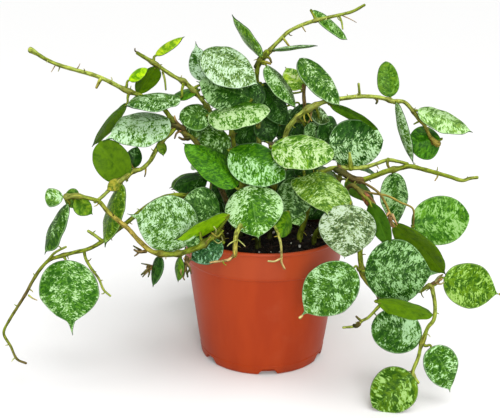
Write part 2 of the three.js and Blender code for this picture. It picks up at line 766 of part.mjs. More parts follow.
function potSolid() {
  const collarRadius = rimRadius - 0.5;
  const inside = rimRadius - 0.5 - wall;
  const shell = solidOf(
    lathe(
      [
        [0, 0],
        [baseRadius - 0.8, 0],
        [baseRadius, 0.8],
        [bodyTopRadius, collarFoot],
        [collarRadius - 0.2, collarFoot + 0.3],
        [collarRadius, potHeight - lipHeight],
        [rimRadius, potHeight - lipHeight + 0.3],
        [rimRadius, potHeight - 0.4],
        [rimRadius - 0.4, potHeight],
        [inside + 0.3, potHeight],
        [inside, potHeight - 0.4],
        [inside, collarFoot + 0.5],
        [innerRadius(collarFoot), collarFoot - 1],
        [innerRadius(floorThickness), floorThickness],
        [0, floorThickness],
      ],
      potSides,
    ),
  );
  let pot = shell;
  const profile = new THREE.Shape([
    new THREE.Vector2(-notchFootWidth / 2, -1),
    new THREE.Vector2(notchFootWidth / 2, -1),
    new THREE.Vector2(notchTopWidth / 2, notchHeight),
    new THREE.Vector2(-notchTopWidth / 2, notchHeight),
  ]);
  for (let i = 0; i < notchCount; i += 1) {
    const angle = THREE.MathUtils.degToRad(firstNotchAngle + (360 * i) / notchCount);
    const notch = new THREE.ExtrudeGeometry(profile, { depth: notchDepth, bevelEnabled: false });
    // Stood upright, then pushed outward through the foot of the wall
    notch.rotateX(Math.PI / 2);
    notch.translate(0, notchDepth, 0);
    notch.rotateZ(angle - Math.PI / 2);
    const inward = baseRadius - notchDepth + 2;
    notch.translate(inward * Math.cos(angle), inward * Math.sin(angle), 0);
    pot = pot.subtract(solidOf(notch));
  }
  return pot;
}

// Lumpy soil, a little higher in the middle, with a plain hole for each stem that stands in it
function soilSolid(vines) {
  const bottom = floorThickness + soilGap;
  const top = [];
  const rings = 4;
  const edge = innerRadius(collarFoot) - soilGap;
  for (let i = 1; i <= rings; i += 1) {
    const radius = edge * (1 - i / rings);
    top.push([radius, soilTop + 1.2 * (1 - radius / edge)]);
  }
  const geometry = lathe(
    [
      [0, bottom],
      [innerRadius(bottom) - soilGap, bottom],
      [innerRadius(collarFoot - 1) - soilGap, collarFoot - 1],
      [edge + collarStep * 0.6, collarFoot + 1],
      [edge + collarStep * 0.6, soilTop - 0.6],
      ...top,
    ],
    soilSides,
  );
  const position = geometry.attributes.position;
  for (let i = 0; i < position.count; i += 1) {
    const [x, y, z] = [position.getX(i), position.getY(i), position.getZ(i)];
    if (z < soilTop - 0.1) continue;
    const lump = Math.sin(x * 0.61 + 1) * Math.sin(y * 0.53) + 0.6 * Math.sin(x * 0.23 - y * 0.37);
    position.setZ(i, z + soilLump * lump);
  }
  let soil = solidOf(geometry);
  for (const { stems } of vines) {
    const { route, thick } = stems[0];
    const [x, y, z] = route[0];
    const hole = new THREE.CylinderGeometry(thick[0] + holeGap, thick[0] + holeGap, 40, 7);
    hole.rotateX(Math.PI / 2);
    hole.translate(x, y, z - footGap + 20);
    soil = soil.subtract(solidOf(hole));
  }
  return soil;
}

// A stem goes down into its hole from where it leaves the soil
function rooted(stem) {
  const [x, y] = stem.route[0];
  const foot = soilTop - holeDepth;
  const straight = [foot, foot + holeDepth / 2, soilTop, soilTop + straightAbove].map((z) => [x, y, z]);
  return { ...stem, route: [...straight, ...stem.route.slice(1)] };
}

// A side stem starts inside the stem that it grows from
function withSideStems(stems) {
  const grown = [rooted(stems[0])];
  for (const stem of stems.slice(1)) {
    const first = vector(stem.route[0]);
    const start = nearestOnStems(grown, first);
    const rest = start.distanceTo(first) < nearStart ? stem.route.slice(1) : stem.route;
    grown.push({ ...stem, route: [start.toArray(), ...rest] });
  }
  return grown;
}

const vines = frontVines.map((vine) => ({ ...vine, stems: withSideStems(vine.stems) }));
for (const vine of backVines) {
  const stem = rooted({ thick: vine.thick, route: vine.route });
  vines.push({ name: vine.name, stems: [stem], leaves: pairedLeaves(vine) });
}

const group = new THREE.Group();
function addPiece(name, solid, color, roughness) {
  const material = new THREE.MeshStandardMaterial({ color, roughness, metalness: 0 });
  const mesh = new THREE.Mesh(geometryOf(solid), material);
  mesh.name = name;
  group.add(mesh);
}

addPiece("pot", potSolid(), potColour, 0.45);
addPiece("soil", soilSolid(vines), soilColour, 0.95);
for (const vine of vines) addPiece(vine.name, vineSolid(vine), vineColour, 0.4);

export default group;
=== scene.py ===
import math
import random

import bmesh
import bpy
import numpy as np
from mathutils import Matrix, Vector, noise


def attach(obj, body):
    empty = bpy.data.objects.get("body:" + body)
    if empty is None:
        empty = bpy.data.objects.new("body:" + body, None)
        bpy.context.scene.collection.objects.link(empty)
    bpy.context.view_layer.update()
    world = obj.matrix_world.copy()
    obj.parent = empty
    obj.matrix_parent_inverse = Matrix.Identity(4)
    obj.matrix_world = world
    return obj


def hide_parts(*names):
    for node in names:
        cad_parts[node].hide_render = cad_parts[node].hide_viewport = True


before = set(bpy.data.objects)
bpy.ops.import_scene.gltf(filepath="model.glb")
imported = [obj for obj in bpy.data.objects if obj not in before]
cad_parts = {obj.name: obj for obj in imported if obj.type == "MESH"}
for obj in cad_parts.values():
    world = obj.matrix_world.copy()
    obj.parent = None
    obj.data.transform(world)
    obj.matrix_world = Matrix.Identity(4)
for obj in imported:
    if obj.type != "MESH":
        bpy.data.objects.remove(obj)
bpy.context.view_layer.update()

# Potted hoya: pot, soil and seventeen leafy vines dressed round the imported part.
# Shapes and the camera are written in millimetres and turned into metres when they are made.
# Lights, the floor and the materials of pot and soil are written in metres.
mm = 0.001
fullTurn = 2 * math.pi


def unit(v):
    return v / max(np.linalg.norm(v), 1e-9)


def distance(points):  # how far each point lies along the chain of points
    return np.concatenate([[0], np.cumsum(np.linalg.norm(np.diff(points, axis=0), axis=1))])


def smoothRoute(points, step, fineness=13):  # even points along a centripetal curve through the given ones
    p = np.array(points, float)
    p = np.vstack([2 * p[0] - p[1], p, 2 * p[-1] - p[-2]])
    chain = [p[1]]
    for i in range(len(p) - 3):
        a, b, c, d = p[i : i + 4]
        ta, tb, tc = (max(np.linalg.norm(v), 1e-6) ** 0.5 for v in (b - a, c - b, d - c))
        m1 = ((b - a) / ta - (c - a) / (ta + tb) + (c - b) / tb) * tb
        m2 = ((c - b) / tb - (d - b) / (tb + tc) + (d - c) / tc) * tb
        for t in np.linspace(0, 1, fineness)[1:]:
            h = (2 * t**3 - 3 * t**2 + 1, t**3 - 2 * t**2 + t, -2 * t**3 + 3 * t**2, t**3 - t**2)
            chain.append(h[0] * b + h[1] * m1 + h[2] * c + h[3] * m2)
    chain = np.array(chain)
    run = distance(chain)
    even = np.linspace(0, run[-1], max(2, int(round(run[-1] / step))) + 1)
    return np.stack([np.interp(even, run, chain[:, k]) for k in range(3)], axis=1)


def newHeap():  # loose parts gathered here become one mesh
    return {"verts": [], "faces": [], "slots": [], "count": 0, "values": {}}


def addToHeap(heap, verts, faces, slot=0, **values):
    start = heap["count"]
    heap["verts"].append(verts)
    heap["faces"].extend(tuple(start + k for k in face) for face in faces)
    heap["slots"].extend([slot] * len(faces) if isinstance(slot, int) else slot)
    heap["count"] += len(verts)
    for name, value in values.items():
        value = np.atleast_2d(np.array(value, float))
        full = np.repeat(value, len(verts), axis=0) if len(value) == 1 else value
        heap["values"].setdefault(name, []).append(full)


def linkObject(name, data):
    made = bpy.data.objects.new(name, data)
    bpy.context.scene.collection.objects.link(made)
    return made


def dress(piece, node):  # the piece rides on the body and stands for its node
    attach(piece, "root")
    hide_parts(node)


def pieceFromHeap(name, heap, materials, node, sharpAngle=None):
    mesh = bpy.data.meshes.new(name)
    mesh.from_pydata((np.vstack(heap["verts"]) * mm).tolist(), [], heap["faces"])
    for material in materials:
        mesh.materials.append(material)
    mesh.polygons.foreach_set("material_index", heap["slots"])
    mesh.polygons.foreach_set("use_smooth", [True] * len(mesh.polygons))
    kinds = {1: ("FLOAT", "value"), 3: ("FLOAT_VECTOR", "vector"), 4: ("FLOAT_COLOR", "color")}
    for title, parts in heap["values"].items():
        values = np.vstack(parts)
        kind, key = kinds[values.shape[1]]
        layer = mesh.attributes.new(title, kind, "POINT")
        layer.data.foreach_set(key, values.astype(np.float32).ravel())
    mesh.validate()
    mesh.update()
    if sharpAngle:
        mesh.set_sharp_from_angle(angle=math.radians(sharpAngle))
    dress(linkObject(name, mesh), node)


# Camera, floor and lights
camera = {
    "sensor": 36,
    "lens": 54.72,
    "place": (-6.98, -368.45, 184.76),
    "down": 16.46,
    "roll": 0.62,
    "clip": (0.01, 100),
}
studio = {
    "floorSize": 60.0,
    "floorColour": (0.86, 0.86, 0.855),
    "floorTints": (1, 0.99),
    "floorStops": (0.3, 0.7),
    "floorCloud": (3, 2),
    "floorRoughness": 0.9,
    "floorShine": 0.1,
    "backdrop": 1.0,
    "skyStrength": 0.5,
    "sunStrength": 2.2,
    "sunWidth": 55,
    "sunFrom": (0.25, -0.15, 0.95),
    "frontSize": 0.6,
    "frontPower": 8.5,
    "frontPlace": (0.12, -1.1, 0.42),
    "frontAim": (0, 0, 0.06),
}


def makeCamera(s):
    down, roll = math.radians(s["down"]), math.radians(s["roll"])
    ahead = Vector((0, math.cos(down), -math.sin(down)))
    right = Vector((1, 0, 0))
    up = Vector((0, math.sin(down), math.cos(down)))
    across = right * math.cos(roll) + up * math.sin(roll)
    upward = up * math.cos(roll) - right * math.sin(roll)
    data = bpy.data.cameras.new("camera")
    data.sensor_width, data.lens = s["sensor"], s["lens"]
    data.clip_start, data.clip_end = s["clip"]
    eye = linkObject("camera", data)
    turn = Matrix((across, upward, -ahead)).transposed().to_4x4()
    eye.matrix_world = Matrix.Translation(Vector(s["place"]) * mm) @ turn
    bpy.context.scene.camera = eye


def addLamp(name, kind, place, aim, **settings):
    data = bpy.data.lights.new(name, kind)
    for key, value in settings.items():
        setattr(data, key, value)
    turn = (Vector(aim) - Vector(place)).to_track_quat("-Z", "Y")
    linkObject(name, data).matrix_world = Matrix.Translation(place) @ turn.to_matrix().to_4x4()


def makeSky(s):  # the camera sees a plain white backdrop, and a dimmer sky lights the object
    world = bpy.data.worlds.new("studio")
    world.use_nodes = True
    tree = world.node_tree
    mix = tree.nodes.new("ShaderNodeMixShader")
    tree.links.new(tree.nodes.new("ShaderNodeLightPath").outputs["Is Camera Ray"], mix.inputs["Fac"])
    sky, backdrop = tree.nodes["Background"], tree.nodes.new("ShaderNodeBackground")
    for socket, ground, strength in ((1, sky, s["skyStrength"]), (2, backdrop, s["backdrop"])):
        ground.inputs["Color"].default_value = (1, 1, 1, 1)
        ground.inputs["Strength"].default_value = strength
        tree.links.new(ground.outputs["Background"], mix.inputs[socket])
    tree.links.new(mix.outputs["Shader"], tree.nodes["World Output"].inputs["Surface"])
    bpy.context.scene.world = world


def floorPaint(s):
    material, tree, shader = newMaterial("floorPaint")
    ramp = addNode(tree, "ValToRGB", {"Fac": noiseNode(tree, None, *s["floorCloud"])})
    for element, place, tint in zip(ramp.color_ramp.elements, s["floorStops"], s["floorTints"]):
        element.position = place
        element.color = (*(c * tint for c in s["floorColour"]), 1)
    feed(tree, shader.inputs["Base Color"], ramp.outputs["Color"])
    shader.inputs["Roughness"].default_value = s["floorRoughness"]
    shader.inputs["Specular IOR Level"].default_value = s["floorShine"]
    return material


def makeStudio(s):
    makeSky(s)
    bpy.context.scene.view_settings.view_transform = "Standard"
    width = math.radians(s["sunWidth"])
    addLamp("softSun", "SUN", s["sunFrom"], (0, 0, 0), energy=s["sunStrength"], angle=width)
    addLamp("frontPanel", "AREA", s["frontPlace"], s["frontAim"], energy=s["frontPower"], size=s["frontSize"])
    mesh = bpy.data.meshes.new("floor")
    h = s["floorSize"] / 2
    mesh.from_pydata([(-h, -h, 0), (h, -h, 0), (h, h, 0), (-h, h, 0)], [], [(0, 1, 2, 3)])
    mesh.materials.append(floorPaint(s))
    floor = linkObject("floor", mesh)


# Small helpers for shader nodes
def newMaterial(name):
    material = bpy.data.materials.new(name)
    material.use_nodes = True
    tree = material.node_tree
    return material, tree, tree.nodes["Principled BSDF"]


def newGroup(name, inputs, outputs):  # a shared node group with named sockets
    group = bpy.data.node_groups.new(name, "ShaderNodeTree")
    for side, sockets in (("INPUT", inputs), ("OUTPUT", outputs)):
        for title, kind in sockets.items():
            group.interface.new_socket(title, in_out=side, socket_type="NodeSocket" + kind)
    return group, group.nodes.new("NodeGroupInput").outputs, group.nodes.new("NodeGroupOutput").inputs


def feed(tree, socket, value):  # a socket takes another node's output or a plain value
    if isinstance(value, bpy.types.NodeSocket):
        tree.links.new(value, socket)
    else:
        socket.default_value = value


def addNode(tree, kind, inputs, **settings):  # inputs that are None keep the node's own value
    node = tree.nodes.new("ShaderNode" + kind)
    for key, value in settings.items():
        setattr(node, key, value)
    for key, value in inputs.items():
        if value is not None:
            feed(tree, node.inputs[key], value)
    return node


def useGroup(tree, group, **inputs):
    return addNode(tree, "Group", inputs, node_tree=group).outputs


def readValue(tree, name):
    return addNode(tree, "Attribute", {}, attribute_name=name).outputs


def objectPlace(tree):
    return addNode(tree, "TexCoord", {}).outputs["Object"]


def mathNode(tree, operation, *values):
    return addNode(tree, "Math", dict(enumerate(values)), operation=operation).outputs["Value"]


def vectorNode(tree, operation, a, b=None, scale=None):
    return addNode(tree, "VectorMath", {0: a, 1: b, "Scale": scale}, operation=operation).outputs["Vector"]


def noiseNode(tree, vector, scale, detail, roughness=0.5, distortion=0.0):
    look = {"Scale": scale, "Detail": detail, "Roughness": roughness, "Distortion": distortion}
    return addNode(tree, "TexNoise", {"Vector": vector, **look}).outputs["Fac"]


def cellNode(tree, vector, scale):
    return addNode(tree, "TexVoronoi", {"Vector": vector, "Scale": scale}).outputs["Distance"]


def stepNode(tree, value, low, high, fromValue=0.0, toValue=1.0):  # smooth step from low to high
    limits = {"From Min": low, "From Max": high, "To Min": fromValue, "To Max": toValue}
    return addNode(tree, "MapRange", {"Value": value, **limits}, interpolation_type="SMOOTHSTEP").outputs["Result"]


def mixNode(tree, factor, a, b, blend="MIX"):
    node = addNode(tree, "Mix", {"Factor": factor}, data_type="RGBA", blend_type=blend)
    for name, value in (("A", a), ("B", b)):
        socket = next(s for s in node.inputs if s.name == name and s.type == "RGBA")
        feed(tree, socket, (*value, 1) if isinstance(value, tuple) else value)
    return next(s for s in node.outputs if s.type == "RGBA")


def tinted(tree, colour, tint):
    return mixNode(tree, 1.0, colour, tint, "MULTIPLY")


def splitNode(tree, vector):
    return addNode(tree, "SeparateXYZ", {"Vector": vector}).outputs


def joinNode(tree, x, y, z):
    return addNode(tree, "CombineXYZ", {"X": x, "Y": y, "Z": z}).outputs["Vector"]


def finishPaint(tree, shader, colour, roughness, shine, height, bump):  # bump holds its distance in m and strength
    feed(tree, shader.inputs["Base Color"], colour)
    feed(tree, shader.inputs["Roughness"], roughness)
    shader.inputs["Specular IOR Level"].default_value = shine
    relief = addNode(tree, "Bump", {"Height": height, "Distance": bump[0], "Strength": bump[1]})
    feed(tree, shader.inputs["Normal"], relief.outputs["Normal"])


# Silver flecks of a leaf, on coordinates in mm across and along the blade
flecking = {
    "slant": -0.45,  # side veins leave the rib at a slant
    "apart": 0.22,
    "veinSqueeze": 0.4,
    "patchSqueeze": 0.75,
    "zones": (0.15, 2, 0.5),  # each noise: scale, detail, roughness and distortion
    "patches": (0.62, 3, 0.68, 0.9),
    "flecks": (1.1, 2, 0.6, 0.5),
    "greens": (0.42, 4, 0.68, 0.4),
    "zoneWeight": 0.75,
    "fleckWeight": 0.8,
    "shareWeight": 0.6,  # more silver as the share grows
    "silver": (1.665, 1.7),
    "mint": (1.58, 1.64),
    "deep": (0.54, 0.43),
    "light": (0.52, 0.66),
}


def makeMottle(s):
    inputs = {"Place": "Vector", "Share": "Float", "Fineness": "Float"}
    outputs = dict.fromkeys(("Silver", "Mint", "Deep", "Light", "Height"), "Float")
    group, given, made = newGroup("leafMottle", inputs, outputs)
    x, y, z = splitNode(group, given["Place"])
    aside = mathNode(group, "ABSOLUTE", x)
    lean = mathNode(group, "MULTIPLY_ADD", aside, s["slant"], y)
    apart = mathNode(group, "MULTIPLY_ADD", x, s["apart"], z)
    veined = joinNode(group, mathNode(group, "MULTIPLY", aside, s["veinSqueeze"]), lean, apart)
    eased = joinNode(group, mathNode(group, "MULTIPLY", x, s["patchSqueeze"]), lean, apart)
    plain, eased, veined = (
        vectorNode(group, "SCALE", place, scale=given["Fineness"]) for place in (given["Place"], eased, veined)
    )
    zones = noiseNode(group, plain, *s["zones"])
    level = mathNode(group, "MULTIPLY_ADD", zones, s["zoneWeight"], noiseNode(group, eased, *s["patches"]))
    level = mathNode(group, "MULTIPLY_ADD", noiseNode(group, veined, *s["flecks"]), s["fleckWeight"], level)
    level = mathNode(group, "MULTIPLY_ADD", given["Share"], s["shareWeight"], level)
    greens = noiseNode(group, eased, *s["greens"])
    for name, source in (("Silver", level), ("Mint", level), ("Deep", greens), ("Light", greens)):
        feed(group, made[name], stepNode(group, source, *s[name.lower()]))
    feed(group, made["Height"], level)
    return group


# Fine waxy grain that stems, leaves, plastic and soil share, each with its own scale
graining = {
    "grain": (3, 0.6),  # detail and roughness
    "patchScale": 0.12,
    "patches": (0.3, 0.7),
}


def makeSkin(s):
    inputs = {"Place": "Vector", "Scale": "Float"}
    group, given, made = newGroup("fineSkin", inputs, {"Height": "Float", "Patch": "Float"})
    wider = mathNode(group, "MULTIPLY", given["Scale"], s["patchScale"])
    wide = noiseNode(group, given["Place"], wider, *s["grain"])
    feed(group, made["Height"], noiseNode(group, given["Place"], given["Scale"], *s["grain"]))
    feed(group, made["Patch"], stepNode(group, wide, *s["patches"]))
    return group


mottle = makeMottle(flecking)
skin = makeSkin(graining)


# Each step holds its two limits, and the values at them unless these are 0 and 1
topFinish = {
    "grain": 3.2,
    "deepTint": (0.36, 0.54, 0.2),
    "lightTint": (1.9, 1.5, 1.3),
    "mintTint": (1.0, 1.15, 0.6),
    "mintShare": 0.4,
    "rib": (0.5, 0.1, 0.0, 0.22),
    # painted highlight along the margin
    "marginHighlight": (0.83, 0.93, 0.0, 0.34),
    "rimEdge": (0.955, 0.99),
    "rim": (0.012, 0.034, 0.006),
    "roughness": (0, 1, 0.31, 0.46),
    "patchRoughness": 0.08,
    "shine": 0.1,
    "grainHeight": 0.35,
    "groove": (0.9, 0.0),
    "grooveHeight": -0.8,
    "bump": (0.00022, 0.8),
}


def leafTopPaint(s):
    material, tree, shader = newMaterial("leafTop")
    place = readValue(tree, "place")["Vector"]
    green, fleck, edge = (readValue(tree, name) for name in ("green", "fleck", "edge"))
    marks = useGroup(tree, mottle, Place=place, Share=fleck["Alpha"], Fineness=green["Alpha"])
    fine = useGroup(tree, skin, Place=place, Scale=s["grain"])
    mint = tinted(tree, mixNode(tree, s["mintShare"], green["Color"], fleck["Color"]), s["mintTint"])
    colour = mixNode(tree, marks["Deep"], green["Color"], tinted(tree, green["Color"], s["deepTint"]))
    colour = mixNode(tree, marks["Light"], colour, tinted(tree, green["Color"], s["lightTint"]))
    colour = mixNode(tree, marks["Mint"], colour, mint)
    colour = mixNode(tree, marks["Silver"], colour, fleck["Color"])
    aside = mathNode(tree, "ABSOLUTE", splitNode(tree, place)[0])
    colour = mixNode(tree, stepNode(tree, aside, *s["rib"]), colour, mint)
    # painted highlight: a pale band along the margin, where light would catch the thick edge
    colour = mixNode(tree, stepNode(tree, edge["Fac"], *s["marginHighlight"]), colour, fleck["Color"])
    # the thin dark line at the very margin: partly the leaf's own dark edge, partly painted shade on the rounded edge
    colour = mixNode(tree, stepNode(tree, edge["Fac"], *s["rimEdge"]), colour, s["rim"])
    rough = stepNode(tree, marks["Silver"], *s["roughness"])
    rough = mathNode(tree, "MULTIPLY_ADD", fine["Patch"], s["patchRoughness"], rough)
    height = mathNode(tree, "MULTIPLY_ADD", fine["Height"], s["grainHeight"], marks["Height"])
    height = mathNode(tree, "MULTIPLY_ADD", stepNode(tree, aside, *s["groove"]), s["grooveHeight"], height)
    finishPaint(tree, shader, colour, rough, s["shine"], height, s["bump"])
    return material


underFinish = {
    "grain": 2.4,
    "share": 0.1,
    "fineness": 0.7,
    "darkTint": (0.55, 0.66, 0.5),
    "paleTint": (1.4, 1.3, 1.7),
    "rib": (0.8, 0.2, 0.0, 0.6),
    "rimEdge": (0.95, 0.99),
    "rim": (0.03, 0.06, 0.015),
    "roughness": (0, 1, 0.42, 0.52),
    "shine": 0.1,
    "keel": (1.0, 0.0),
    "keelHeight": 1.2,
    "bump": (0.0002, 0.7),
}


def leafUnderPaint(s):
    material, tree, shader = newMaterial("leafUnder")
    place = readValue(tree, "place")["Vector"]
    under = readValue(tree, "under")["Color"]
    marks = useGroup(tree, mottle, Place=place, Share=s["share"], Fineness=s["fineness"])
    fine = useGroup(tree, skin, Place=place, Scale=s["grain"])
    pale = tinted(tree, under, s["paleTint"])
    colour = mixNode(tree, marks["Deep"], under, tinted(tree, under, s["darkTint"]))
    colour = mixNode(tree, fine["Patch"], colour, pale)
    aside = mathNode(tree, "ABSOLUTE", splitNode(tree, place)[0])
    colour = mixNode(tree, stepNode(tree, aside, *s["rib"]), colour, pale)
    # the thin dark line at the very margin: partly the leaf's own dark edge, partly painted shade on the rounded edge
    colour = mixNode(tree, stepNode(tree, readValue(tree, "edge")["Fac"], *s["rimEdge"]), colour, s["rim"])
    rough = stepNode(tree, fine["Patch"], *s["roughness"])
    height = mathNode(tree, "MULTIPLY_ADD", stepNode(tree, aside, *s["keel"]), s["keelHeight"], fine["Height"])
    finishPaint(tree, shader, colour, rough, s["shine"], height, s["bump"])
    return material


barkFinish = {
    "grain": 2.0,
    "grainStretch": (1.0, 0.16, 1.0),
    "blotchStretch": (1.0, 0.45, 1.0),
    "blotches": (0.55, 4, 0.65),
    "specks": 0.8,
    "darkTint": (0.32, 0.30, 0.18),
    "lightTint": (1.7, 1.5, 1.25),
    "undersideShadeTint": (0.46, 0.46, 0.3),
    "dark": (0.58, 0.36),
    "light": (0.5, 0.66),
    "speckEdge": (0.2, 0.08, 0.0, 0.75),
    "speckColour": (0.11, 0.065, 0.02),
    "lower": (0.35, -0.45),  # painted shade: the underside painted darker where the surface faces down
    "roughness": (0.3, 0.7, 0.6, 0.42),
    "shine": 0.1,
    "speckRise": (0.3, 0.0),
    "speckHeight": 0.8,
    "bump": (0.0002, 0.9),
}


def stemPaint(s):
    material, tree, shader = newMaterial("stemBark")
    place = readValue(tree, "place")["Vector"]
    tone = readValue(tree, "tone")["Color"]
    fine = useGroup(tree, skin, Place=vectorNode(tree, "MULTIPLY", place, s["grainStretch"]), Scale=s["grain"])
    blotch = noiseNode(tree, vectorNode(tree, "MULTIPLY", place, s["blotchStretch"]), *s["blotches"])
    specks = cellNode(tree, place, s["specks"])
    colour = mixNode(tree, stepNode(tree, blotch, *s["dark"]), tone, tinted(tree, tone, s["darkTint"]))
    colour = mixNode(tree, stepNode(tree, fine["Height"], *s["light"]), colour, tinted(tree, tone, s["lightTint"]))
    colour = mixNode(tree, stepNode(tree, specks, *s["speckEdge"]), colour, s["speckColour"])
    # painted shade: where the normal points down, the bark is tinted darker as if in shade
    lower = splitNode(tree, addNode(tree, "NewGeometry", {}).outputs["Normal"])[2]
    colour = mixNode(tree, stepNode(tree, lower, *s["lower"]), colour, tinted(tree, colour, s["undersideShadeTint"]))
    rough = stepNode(tree, blotch, *s["roughness"])
    height = mathNode(tree, "MULTIPLY_ADD", stepNode(tree, specks, *s["speckRise"]), s["speckHeight"], fine["Height"])
    finishPaint(tree, shader, colour, rough, s["shine"], height, s["bump"])
    return material


# Stems
stemForm = {
    "step": 0.8,
    "sides": 12,
    "thinSides": 8,  # of stems up to the thin radius
    "thin": 0.8,
    "domeReach": (0.75, 0.5),
    "domeSize": (0.35, 0.82),
    "domeTip": 0.85,
    "grainRadius": 0.2,
    "grainShift": 7.3,  # moves the bark's grain from tube to tube
    "rootDepth": 9,
    "soilTop": 61.5,
    "straight": 4,
    "nearStart": 4,
    "nodeSwell": 0.45,
    "nodeLength": 1.5,
    "scarShare": 0.45,
    "unevenness": 0.07,
    "waves": (0.9, 0.37),
    "nubStem": 0.65,  # thicker stems than this grow nubs: little aerial roots and buds
    "nubFirstRooted": (12, 8),  # where the first nub may grow and how far that varies
    "nubFirst": (0, 6),
    "nubEndFree": 2,
    "nubSpacing": 9,
    "nubSpacingShare": (0.5, 1.5),
    "nubSize": (0.8, 2.6),
    "nubLean": 0.5,
    "nubTurn": 6.28,
    "nubThick": (0.42, 0.16),
    "nubTones": ["ochre", "brown", "pale", "olive"],
    "fineStep": 0.5,  # of nubs, rootlets and leaf stalks
    "rootletSides": 7,
    "stalkSides": 9,
    "stalkRadii": ((0, 0.15, 0.5, 1), (1.08, 0.8, 0.58, 0.464)),  # places along the stalk and its radius there
    "stalkSag": (0.45, 0.06),  # place along the stalk and drop for its length
    "stalkBack": (1.2, 0.3),
    "stalkBelow": 0.3,
    "stalkHold": (1.4, 0.6),  # how far it runs on along the blade and below it
    "stalkBend": ((0.4, 1.6), (1.6, 0.7)),  # the same where it comes to the blade from behind
}
tones = {
    "olive": (0.185, 0.25, 0.018),
    "lime": (0.31, 0.39, 0.07),
    "ochre": (0.35, 0.29, 0.055),
    "brown": (0.125, 0.092, 0.030),
    "tan": (0.44, 0.31, 0.14),
    "pale": (0.48, 0.50, 0.22),
    "dark": (0.045, 0.06, 0.009),
    "bud": (0.40, 0.25, 0.11),
}


def carriedFrame(path):  # a frame that turns as little as it can along the path
    along = np.gradient(path, axis=0)
    along /= np.maximum(np.linalg.norm(along, axis=1, keepdims=True), 1e-9)
    sides = [unit(np.cross(along[0], (0, 0, 1) if abs(along[0][2]) < 0.9 else (1, 0, 0)))]
    for way in along[1:]:
        sides.append(unit(sides[-1] - way * np.dot(sides[-1], way)))
    sides = np.array(sides)
    return along, sides, np.cross(along, sides)


def closedFaces(rows, n):  # quads between rings of n points, and a fan to one point at each end
    faces = []
    for i in range(rows - 1):
        for k in range(n):
            j = (k + 1) % n
            faces.append((i * n + k, i * n + j, (i + 1) * n + j, (i + 1) * n + k))
    for k in range(n):
        j = (k + 1) % n
        faces.append((rows * n, j, k))
        faces.append((rows * n + 1, (rows - 1) * n + k, (rows - 1) * n + j))
    return faces


def withEnds(rows):  # the first and last row once more for each ring of the domed ends
    return np.vstack([rows[:1], rows[:1], rows, rows[-1:], rows[-1:]])


def tubeMesh(path, radius, n):
    # a closed round tube with domed ends; radius is (start, end) or one value for each point
    radius = np.array(radius, float)
    if len(radius) != len(path):
        radius = np.interp(np.linspace(0, 1, len(path)), np.linspace(0, 1, len(radius)), radius)
    along, side, other = carriedFrame(path)
    back, ahead = along[0] * radius[0], along[-1] * radius[-1]
    head = [path[0] - back * k for k in stemForm["domeReach"]]
    tail = [path[-1] + ahead * k for k in stemForm["domeReach"][::-1]]
    centres = np.vstack([head, path, tail])
    small, tip = np.array(stemForm["domeSize"]), stemForm["domeTip"]
    sizes = np.concatenate([radius[0] * small, radius, radius[-1] * small[::-1]])
    angles = np.linspace(0, 2 * np.pi, n, endpoint=False)
    turned = np.cos(angles)[None, :, None] * withEnds(side)[:, None]
    turned = turned + np.sin(angles)[None, :, None] * withEnds(other)[:, None]
    rings = centres[:, None] + sizes[:, None, None] * turned
    run = distance(centres)
    places = np.zeros((len(centres), n, 3))
    places[:, :, 0] = angles[None] * np.maximum(radius.mean(), stemForm["grainRadius"])
    places[:, :, 1] = run[:, None]
    verts = np.vstack([rings.reshape(-1, 3), path[0] - back * tip, path[-1] + ahead * tip])
    return verts, closedFaces(len(centres), n), np.vstack([places.reshape(-1, 3), (0, 0, 0), (0, run[-1], 0)])


def nearestPoint(lines, point):
    best = None
    for line in lines:
        gaps = np.linalg.norm(line - point, axis=1)
        k = int(gaps.argmin())
        if best is None or gaps[k] < best[0]:
            best = (gaps[k], line, k)
    return best


def grownStems(stems, s):  # the fine routes: the first stem is rooted, the others start on a grown one
    lines = []
    for i, stem in enumerate(stems):
        route = [np.array(p, float) for p in stem["route"]]
        if i == 0:
            x, y = route[0][:2]
            top, deep = s["soilTop"], s["rootDepth"]
            levels = (top - deep, top - deep / 2, top, top + s["straight"])
            route = [np.array((x, y, z)) for z in levels] + route[1:]
        else:
            gap, line, k = nearestPoint(lines, route[0])
            route = [line[k]] + (route[1:] if gap < s["nearStart"] else route)
        lines.append(smoothRoute(route, s["step"]))
    return lines


def toneAlong(names, count):
    stops = np.array([tones[name] for name in names])
    u = np.linspace(0, 1, count)
    return np.stack([np.interp(u, np.linspace(0, 1, len(stops)), stops[:, k]) for k in range(3)], axis=1)


def addTube(heap, path, radius, n, colours, seed):  # colours holds one for each point of the path
    verts, faces, place = tubeMesh(path, radius, n)
    rings = np.vstack([np.repeat(withEnds(colours), n, axis=0), colours[:1], colours[-1:]])
    place = place + np.array([0, 0, seed * stemForm["grainShift"]])
    addToHeap(heap, verts, faces, place=place, tone=np.hstack([rings, np.ones((len(rings), 1))]))


def addRootlet(heap, route, thick, names, seed):
    chain = smoothRoute(route, stemForm["fineStep"])
    radii = np.linspace(*thick, len(chain))
    addTube(heap, chain, radii, stemForm["rootletSides"], toneAlong(names, len(chain)), seed)


